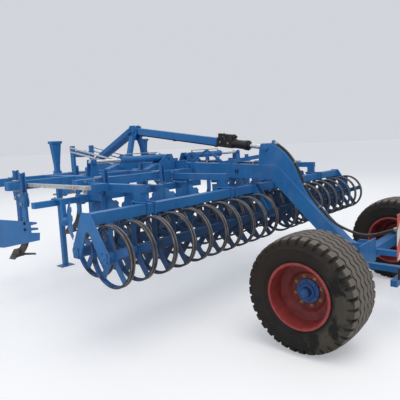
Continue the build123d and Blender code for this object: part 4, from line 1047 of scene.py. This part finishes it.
# levelling discs: hub bolts, caps and the bolts of their arms; distance from the middle, heading in degrees
discDetail = {
    "places": [(0.580, -28), (1.010, -28), (1.440, -28), (1.870, -28), (2.300, 28)],
    "distance": 2.090, "height": 1.180, "dish": 0.040, "armAhead": 0.030, "hubFace": 0.082, "beam": 2.260,
    "boltCircle": 0.030, "boltRadius": 0.0085, "beamTop": (1.416, 1.406), "collar": 2.070, "armBolt": 0.011,
    "cap": [(0.0, 0.036), (0.006, 0.036), (0.010, 0.030), (0.014, 0.012)],
}
for sideName, sideSign in sides.items():
    detail = discDetail
    body = f"wing_{sideName}"
    hubBolts, caps, armBolts = [], [], []
    for distance, heading in detail["places"]:
        turn = radians(-sideSign * heading)
        facing = Vector((sideSign * cos(turn), -sideSign * sin(turn), 0))
        centre = at(sideSign * distance, detail["distance"], detail["height"])
        inner = centre + facing * detail["dish"]
        hubBolts += ringPlaces(inner, -facing, 4, detail["boltCircle"])
        caps.append((centre + facing * detail["hubFace"], facing))
        arm = centre + facing * (detail["dish"] + detail["armAhead"])
        top = detail["beamTop"][0 if distance < detail["collar"] else 1]
        armBolts += [((arm.x, y, top), (0, 0, 1)) for y in (arm.y, axleY + detail["beam"])]
    placeBolts(f"disc_bolts_{sideName}", hubBolts, detail["boltRadius"], paleZinc, body)
    placeTurned(f"disc_caps_{sideName}", detail["cap"], 24, caps, bluePaint, body)
    placeBolts(f"disc_arm_bolts_{sideName}", armBolts, detail["armBolt"], paleZinc, body)
print("discs dressed")


# pins: heads on the ends of the hinge pins
def pinEnds(x, distance, z, reach, lengthwise=False):
    # both ends of a pin, each with the way that it faces
    ends = []
    for face in (-1, 1):
        if lengthwise:
            ends.append((at(x, distance + face * reach, z), (0, face, 0)))
        else:
            ends.append((at(x + face * reach, distance, z), (face, 0, 0)))
    return ends


# share of the pin's radius: height, radius
pinHead = [(0.0, 1.30), (0.10, 1.36), (0.24, 1.36), (0.32, 1.24), (0.32, 0.55), (0.46, 0.50), (0.52, 0.30)]
pinRows = {
    # name: body, pin radius, ends
    "carriage_pins": ("frame", 0.035, pinEnds(0, 2.600, 1.535, 0.125)),
    "tower_pins": ("frame", 0.025, pinEnds(0, 3.700, 2.142, 0.073)),
    "head_pins": ("carriage", 0.025, pinEnds(0, 1.200, 1.800, 0.071)),
    "fold_pins": ("frame", 0.025, [
        end for x in (-0.420, 0.420) for bracket in foldBrackets
        for end in pinEnds(x, bracket, 1.600, 0.104, True)]),
    "fold_base_pins": ("frame", 0.020, [
        end for x in (-0.250, 0.250) for end in pinEnds(x, foldBrackets[0], 1.720, 0.100, True)]),
    "fold_eye_pins_left": ("wing_left", 0.018, pinEnds(-1.500, foldBrackets[0], 1.720, 0.060, True)),
    "fold_eye_pins_right": ("wing_right", 0.018, pinEnds(1.500, foldBrackets[0], 1.720, 0.060, True)),
}
for pinName, (body, radius, places) in pinRows.items():
    head = [(height * radius, outer * radius) for height, outer in pinHead]
    placeTurned(pinName, head, 24, places, bluePaint, body)
print("pins dressed")


# frame: flange and foot bolts, stand pins, tail board bolts
frameBolts = {
    # name: nut radius, places
    "flange_bolts": (0.013, boltGrid((0, 1, 0), (-0.095, 0.095), (4.930,), (1.36, 1.45, 1.54, 1.625))),
    "tower_bolts": (0.014, boltGrid((0, 0, 1), (-0.238, 0.238), (3.662, 3.728), (1.660,))),
    "brace_bolts": (0.012, boltGrid((0, 0, 1), (-0.078, 0.078), (4.758, 4.862), (1.660,))),
    "plate_bolts": (0.012, [
        end for x in (-0.30, -0.17, 0.17, 0.30) for bracket in foldBrackets
        for end in pinEnds(x, bracket, 1.50, 0.090, True)]),
}
for boltsName, (radius, places) in frameBolts.items():
    placeBolts(boltsName, places, radius, paleZinc, "frame")
standPin = {
    "x": 0.920, "distance": 4.600, "height": 1.470, "reach": 0.075, "radius": 0.009,
    "ring": 0.030, "ringBar": 0.0035, "ringInset": 0.006,
}
tailBolts = {"x": 2.271, "distance": 3.120, "heights": (0.985, 1.058), "radius": 0.016}
for sideName, sideSign in sides.items():
    row = standPin
    x, distance, z = sideSign * row["x"], row["distance"], row["height"]
    bar = makeBentBar([at(x + step * row["reach"], distance, z) for step in (-1, 0, 1)], row["radius"])
    x += sideSign * (row["reach"] - row["ringInset"])
    turns = [radians(degrees) for degrees in range(90, 451, 30)]
    ring = [(row["ring"] * cos(turn), row["ring"] * (sin(turn) - 1)) for turn in turns]
    handle = makeBentBar([at(x, distance + along, z + rise) for along, rise in ring], row["ringBar"])
    finishJoined(f"stand_pin_{sideName}", [bar, handle], paleZinc, "frame")
    row, body = tailBolts, f"wing_{sideName}"
    places = boltGrid((sideSign, 0, 0), (sideSign * row["x"],), (row["distance"],), row["heights"])
    placeBolts(f"tail_board_bolts_{sideName}", places, row["radius"], blackPaint, body)
print("frame dressed")


# cylinders: ports, steel pipes and the pipe along the beam
fitting = [(0.0, 0.011), (0.004, 0.014), (0.016, 0.014), (0.018, 0.010), (0.026, 0.010), (0.028, 0.007)]
foldPipe = {
    "radius": 0.0065, "ports": (0.345, 0.985), "portZ": 1.759, "lowZ": 1.781, "highZ": 1.795, "bend": 0.03,
    # last points: distance out from the inner port, distance ahead
    "end": ((0.06, 2.835), (0.02, 2.850)),
}
for sideName, sideSign in sides.items():
    row = foldPipe
    body = f"fold_barrel_{sideName}"
    inner, outer = (sideSign * x for x in row["ports"])
    places = boltGrid((0, 0, 1), (inner, outer), (foldBrackets[0],), (row["portZ"],))
    placeTurned(f"fold_ports_{sideName}", fitting, 6, places, paleZinc, body)
    # from the outer port up and along to the inner one
    low, high, bracket = row["lowZ"], row["highZ"], foldBrackets[0]
    bend = outer - sideSign * row["bend"]
    points = [(outer, bracket, low), (outer, bracket, high), (bend, bracket, high)]
    points += [(inner + sideSign * out, distance, high) for out, distance in row["end"]]
    pipe = makeBentBar([at(*point) for point in points], row["radius"])
    finishJoined(f"fold_pipe_{sideName}", [pipe], paleZinc, body)

beamPipe = {
    "radius": 0.009,
    "points": [
        (0.040, 2.420, 1.648), (0.040, 2.360, 1.640), (0.040, 1.900, 1.623), (0.040, 1.420, 1.609),
        (0.040, 1.330, 1.612), (0.040, 1.300, 1.650), (0.062, 1.262, 1.730),
    ],
    "clips": (2.250, 1.980, 1.700, 1.460), "clip": (0.040, 0.022, 0.026), "clipRise": 0.012,
    # the beam's top: height at a distance ahead, slope
    "top": (1.582, 1.030, 0.0306),
}


def makeBeamPipe():
    look = beamPipe
    pipe = makeBentBar([at(*point) for point in look["points"]], look["radius"], 3)
    finishJoined("beam_pipe", [pipe], blackPaint, "carriage")
    clips = []
    height, start, slope = look["top"]
    for distance in look["clips"]:
        top = height + (distance - start) * slope
        place = at(look["points"][0][0], distance, top + look["clipRise"])
        clips.append(makeBlock(look["clip"], place, 0.005))
    finishJoined("beam_clips", clips, paleZinc, "carriage")


makeBeamPipe()

strutDetail = {
    "pinDistance": 3.700, "pinHeight": 2.142, "run": 2.500, "drop": 0.342,
    # distance behind the tower pin, sideways
    "ports": [(1.80, 0.062), (1.93, 0.062)], "bolts": [(1.775, 0.038), (1.945, 0.038)],
    "boltRise": 0.116, "boltRadius": 0.009, "glandPlace": 2.230,
    "gland": [(0.0, 0.058), (0.010, 0.058), (0.014, 0.050), (0.022, 0.048), (0.024, 0.036), (0.030, 0.034)],
    # distance behind the tower pin, sideways, rise off the strut's middle line
    "link": [
        (1.80, -0.085, 0), (1.80, -0.115, 0), (1.80, -0.115, 0.03), (1.86, -0.100, 0.10),
        (1.93, -0.115, 0.03), (1.93, -0.115, 0), (1.93, -0.085, 0),
    ],
    "linkRadius": 0.0065,
}


def strutPlace(along, sideways, rise):
    # a place on the lift cylinder, by its distance behind the tower pin
    row = strutDetail
    length = hypot(row["run"], row["drop"])
    back = Vector((0, -row["run"], -row["drop"])) / length
    up = Vector((0, -row["drop"], row["run"])) / length
    return at(0, row["pinDistance"], row["pinHeight"]) + back * along + up * rise + Vector((sideways, 0, 0))


def makeStrutDetail():
    row = strutDetail
    back = (strutPlace(1, 0, 0) - strutPlace(0, 0, 0)).normalized()
    up = (strutPlace(0, 0, 1) - strutPlace(0, 0, 0)).normalized()
    ports, bolts = [], []
    for face in (-1, 1):
        ports += [(strutPlace(along, face * out, 0), (face, 0, 0)) for along, out in row["ports"]]
        bolts += [(strutPlace(along, face * out, row["boltRise"]), up) for along, out in row["bolts"]]
    gland = [(strutPlace(row["glandPlace"], 0, 0), back)]
    placeTurned("lift_gland", row["gland"], 32, gland, blackPaint, "strut")
    placeTurned("lift_ports", fitting, 6, ports, paleZinc, "strut")
    placeBolts("valve_bolts", bolts, row["boltRadius"], paleZinc, "strut")
    link = makeBentBar([strutPlace(*point) for point in row["link"]], row["linkRadius"])
    finishJoined("lift_link_pipe", [link], blackPaint, "strut")


makeStrutDetail()
print("cylinders dressed")


# lamps and boards
lampDetail = {
    "x": (0.520, 0.760), "z": (0.590, 0.700), "face": -0.622, "depth": 0.016, "rear": -0.650, "border": 0.014,
    "lenses": (("tail", 0.527, 0.634, redLens), ("turn", 0.642, 0.753, amberLens)),
}


def makeLamps():
    row = lampDetail
    low, high = row["z"]
    middleZ = (low + high) / 2
    housings, lenses = [], {"tail": [], "turn": []}
    for sign in sides.values():
        inner, outer = row["x"]
        centre = at(sign * (inner + outer) / 2, row["face"] - row["depth"] / 2, middleZ)
        housings.append(makeBlock((outer - inner, row["depth"], high - low), centre, 0.006))
        for lensName, start, end, material in row["lenses"]:
            depth = row["face"] - row["depth"] - row["rear"]
            centre = at(sign * (start + end) / 2, row["rear"] + depth / 2, middleZ)
            lens = makeBlock((end - start, depth, high - low - row["border"]), centre, 0.005)
            lenses[lensName].append(lens)
    housing = finishJoined("lamp_housings", housings, blackPaint, "carriage")
    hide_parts("rear_lamps")
    for lensName, start, end, material in row["lenses"]:
        finishJoined(f"lamp_lenses_{lensName}", lenses[lensName], material, "carriage")


makeLamps()
boardBolts = {"x": (-0.592, -0.555, 0.555, 0.592), "face": -0.624, "heights": (0.83, 1.13), "radius": 0.006}
places = boltGrid((0, -1, 0), boardBolts["x"], (boardBolts["face"],), boardBolts["heights"])
placeBolts("board_bolts", places, boardBolts["radius"], paleZinc, "carriage")
print("lights dressed")


# hose: crimped ends and clips, set along the hose's own line
hoseDetail = {
    "ferrule": [
        (-0.002, 0.0150), (-0.002, 0.0195), (0.006, 0.0205), (0.012, 0.0190), (0.018, 0.0205),
        (0.024, 0.0190), (0.030, 0.0205), (0.046, 0.0200), (0.050, 0.0160),
    ],
    "band": [
        (-0.010, 0.0152), (-0.010, 0.0180), (-0.008, 0.0190), (0.008, 0.0190), (0.010, 0.0180),
        (0.010, 0.0152),
    ],
    # shares of the hose's length
    "clips": (0.17, 0.33, 0.47), "foot": (0.024, 0.016, 0.016), "footDepth": 0.024,
}


def hoseLine():
    # points along the hose, read from its spline without the bevel
    line = hosePiece.data.copy()
    line.bevel_depth = 0
    holder = bpy.data.objects.new("hoseRead", line)
    bpy.context.scene.collection.objects.link(holder)
    mesh = bpy.data.meshes.new_from_object(holder)
    points = [vertex.co.copy() for vertex in mesh.vertices]
    dropPiece(holder)
    return points


def makeHoseDetail():
    detail = hoseDetail
    points = hoseLine()
    ends = [(points[0], points[1] - points[0]), (points[-1], points[-2] - points[-1])]
    placeTurned("hose_ferrules", detail["ferrule"], 20, ends, paleZinc, "carriage", hollow=True)
    bands, feet = [], []
    for share in detail["clips"]:
        index = round(share * (len(points) - 1))
        way = points[index + 1] - points[index - 1]
        bands.append((points[index], way))
        across = Vector((0, way.z, -way.y)).normalized()
        foot = makeBlock(detail["foot"], (0, 0, 0), 0.002)
        foot.data.transform(Matrix.Translation(points[index] - across * detail["footDepth"]) @ turnTo(way))
        feet.append(foot)
    placeTurned("hose_bands", detail["band"], 20, bands, paleZinc, "carriage", hollow=True)
    finishJoined("hose_feet", feet, bluePaint, "carriage")


makeHoseDetail()
print("hose dressed")


# gooseneck: weld beads and lifting eye
gooseneckDetail = {
    "seam": [
        (1.312, 1.5925), (1.200, 1.5885), (1.060, 1.5840), (0.990, 1.5440), (0.800, 1.3590), (0.625, 1.1880),
    ],
    "seamX": 0.056, "bead": 0.005,
    "eye": (0.085, 1.640, 1.478), "eyeRadius": 0.022, "eyeBar": 0.0055, "eyeOut": 0.012, "eyeRise": 0.03,
    # the eye's feet: distance to each side, rise
    "feet": (0.02, 0.062),
}


def makeGooseneckDetail():
    row = gooseneckDetail
    seams, eyes = [], []
    middle, distance, z = row["eye"]
    spread, rise = row["feet"]
    turns = [radians(degrees) for degrees in range(-150, 151, 30)]
    for face in (-1, 1):
        seam = [at(face * row["seamX"], along, height) for along, height in row["seam"]]
        seams.append(makeBentBar(seam, row["bead"]))
        x = face * middle
        outer, top, size = x + face * row["eyeOut"], z + row["eyeRise"], row["eyeRadius"]
        ring = [at(outer, distance + size * sin(turn), top - size * cos(turn)) for turn in turns]
        feet = [at(x, distance - spread, z + rise), at(x, distance + spread, z + rise)]
        eyes.append(makeBentBar([feet[0], *ring, feet[1]], row["eyeBar"]))
    finishJoined("gooseneck_seams", seams, bluePaint, "carriage")
    finishJoined("gooseneck_eyes", eyes, blackPaint, "carriage")


makeGooseneckDetail()
print("gooseneck dressed")


# light and floor
stageLook = {
    "floorSize": 900, "floor": (0.80, 0.79, 0.77, 1), "lift": (0.93, 0.95, 1.0, 1), "floorLift": 0.32,
    "soft": {"Color": (0.86, 0.91, 1.0, 1), "Strength": 0.50},
    "seen": {"Color": (0.911, 0.940, 1.0, 1), "Strength": 0.705},
    # name, place, aim, size, power, colour
    "lamps": (
        ("skyLight", (-4.0, -6.5, 12.6), (0, -1, 0.6), 10.0, 780, (1.0, 0.98, 0.95)),
        ("fillLight", (-11.0, 1.0, 6.0), (0, 0, 1), 8.0, 190, (0.93, 0.96, 1.0)),
        ("backLight", (8.0, 8.0, 9.0), (0, 0, 1), 9.0, 320, (0.97, 0.98, 1.0)),
    ),
}


def makeFloor():
    deselectAll()
    bpy.ops.mesh.primitive_plane_add(size=stageLook["floorSize"], location=(0, 0, 0))
    floor = bpy.context.view_layer.objects.active
    floor.name = "floor"
    material, tree = startMaterial("paleFloor")
    finishMaterial(material, {"Base Color": stageLook["floor"], "Roughness": 0.9})
    path = groupNode(tree, "ShaderNodeLightPath").outputs
    lift = product(tree, path["Is Camera Ray"], stageLook["floorLift"])
    glow = groupNode(tree, "ShaderNodeEmission", {"Color": stageLook["lift"], "Strength": lift})
    inputs = {0: tree.nodes["Principled BSDF"].outputs[0], 1: glow.outputs[0]}
    both = groupNode(tree, "ShaderNodeAddShader", inputs)
    setInputs(tree, tree.nodes["Material Output"], {"Surface": both.outputs[0]})
    floor.data.materials.append(material)
    floor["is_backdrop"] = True


def makeRoom():
    world = bpy.data.worlds.new("paleRoom")
    bpy.context.scene.world = world
    world.use_nodes = True
    tree = world.node_tree
    tree.nodes.clear()
    soft = groupNode(tree, "ShaderNodeBackground", stageLook["soft"])
    seen = groupNode(tree, "ShaderNodeBackground", stageLook["seen"])
    path = groupNode(tree, "ShaderNodeLightPath").outputs
    anySeen = mathNode(tree, "MAXIMUM", path["Is Camera Ray"], path["Is Glossy Ray"])
    anySeen = mathNode(tree, "MAXIMUM", anySeen, path["Is Transmission Ray"])
    mixed = groupNode(tree, "ShaderNodeMixShader", {0: anySeen, 1: soft.outputs[0], 2: seen.outputs[0]})
    groupNode(tree, "ShaderNodeOutputWorld", {0: mixed.outputs[0]})
    for name, place, aim, size, power, colour in stageLook["lamps"]:
        light = bpy.data.lights.new(name, "AREA")
        light.size = size
        light.energy = power
        light.color = colour
        lamp = bpy.data.objects.new(name, light)
        bpy.context.scene.collection.objects.link(lamp)
        lamp.location = place
        lamp.rotation_euler = (Vector(aim) - Vector(place)).to_track_quat("-Z", "Y").to_euler()


makeFloor()
makeRoom()
for master in boltMasters.values():
    dropPiece(master)
print("stage set")

low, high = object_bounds()
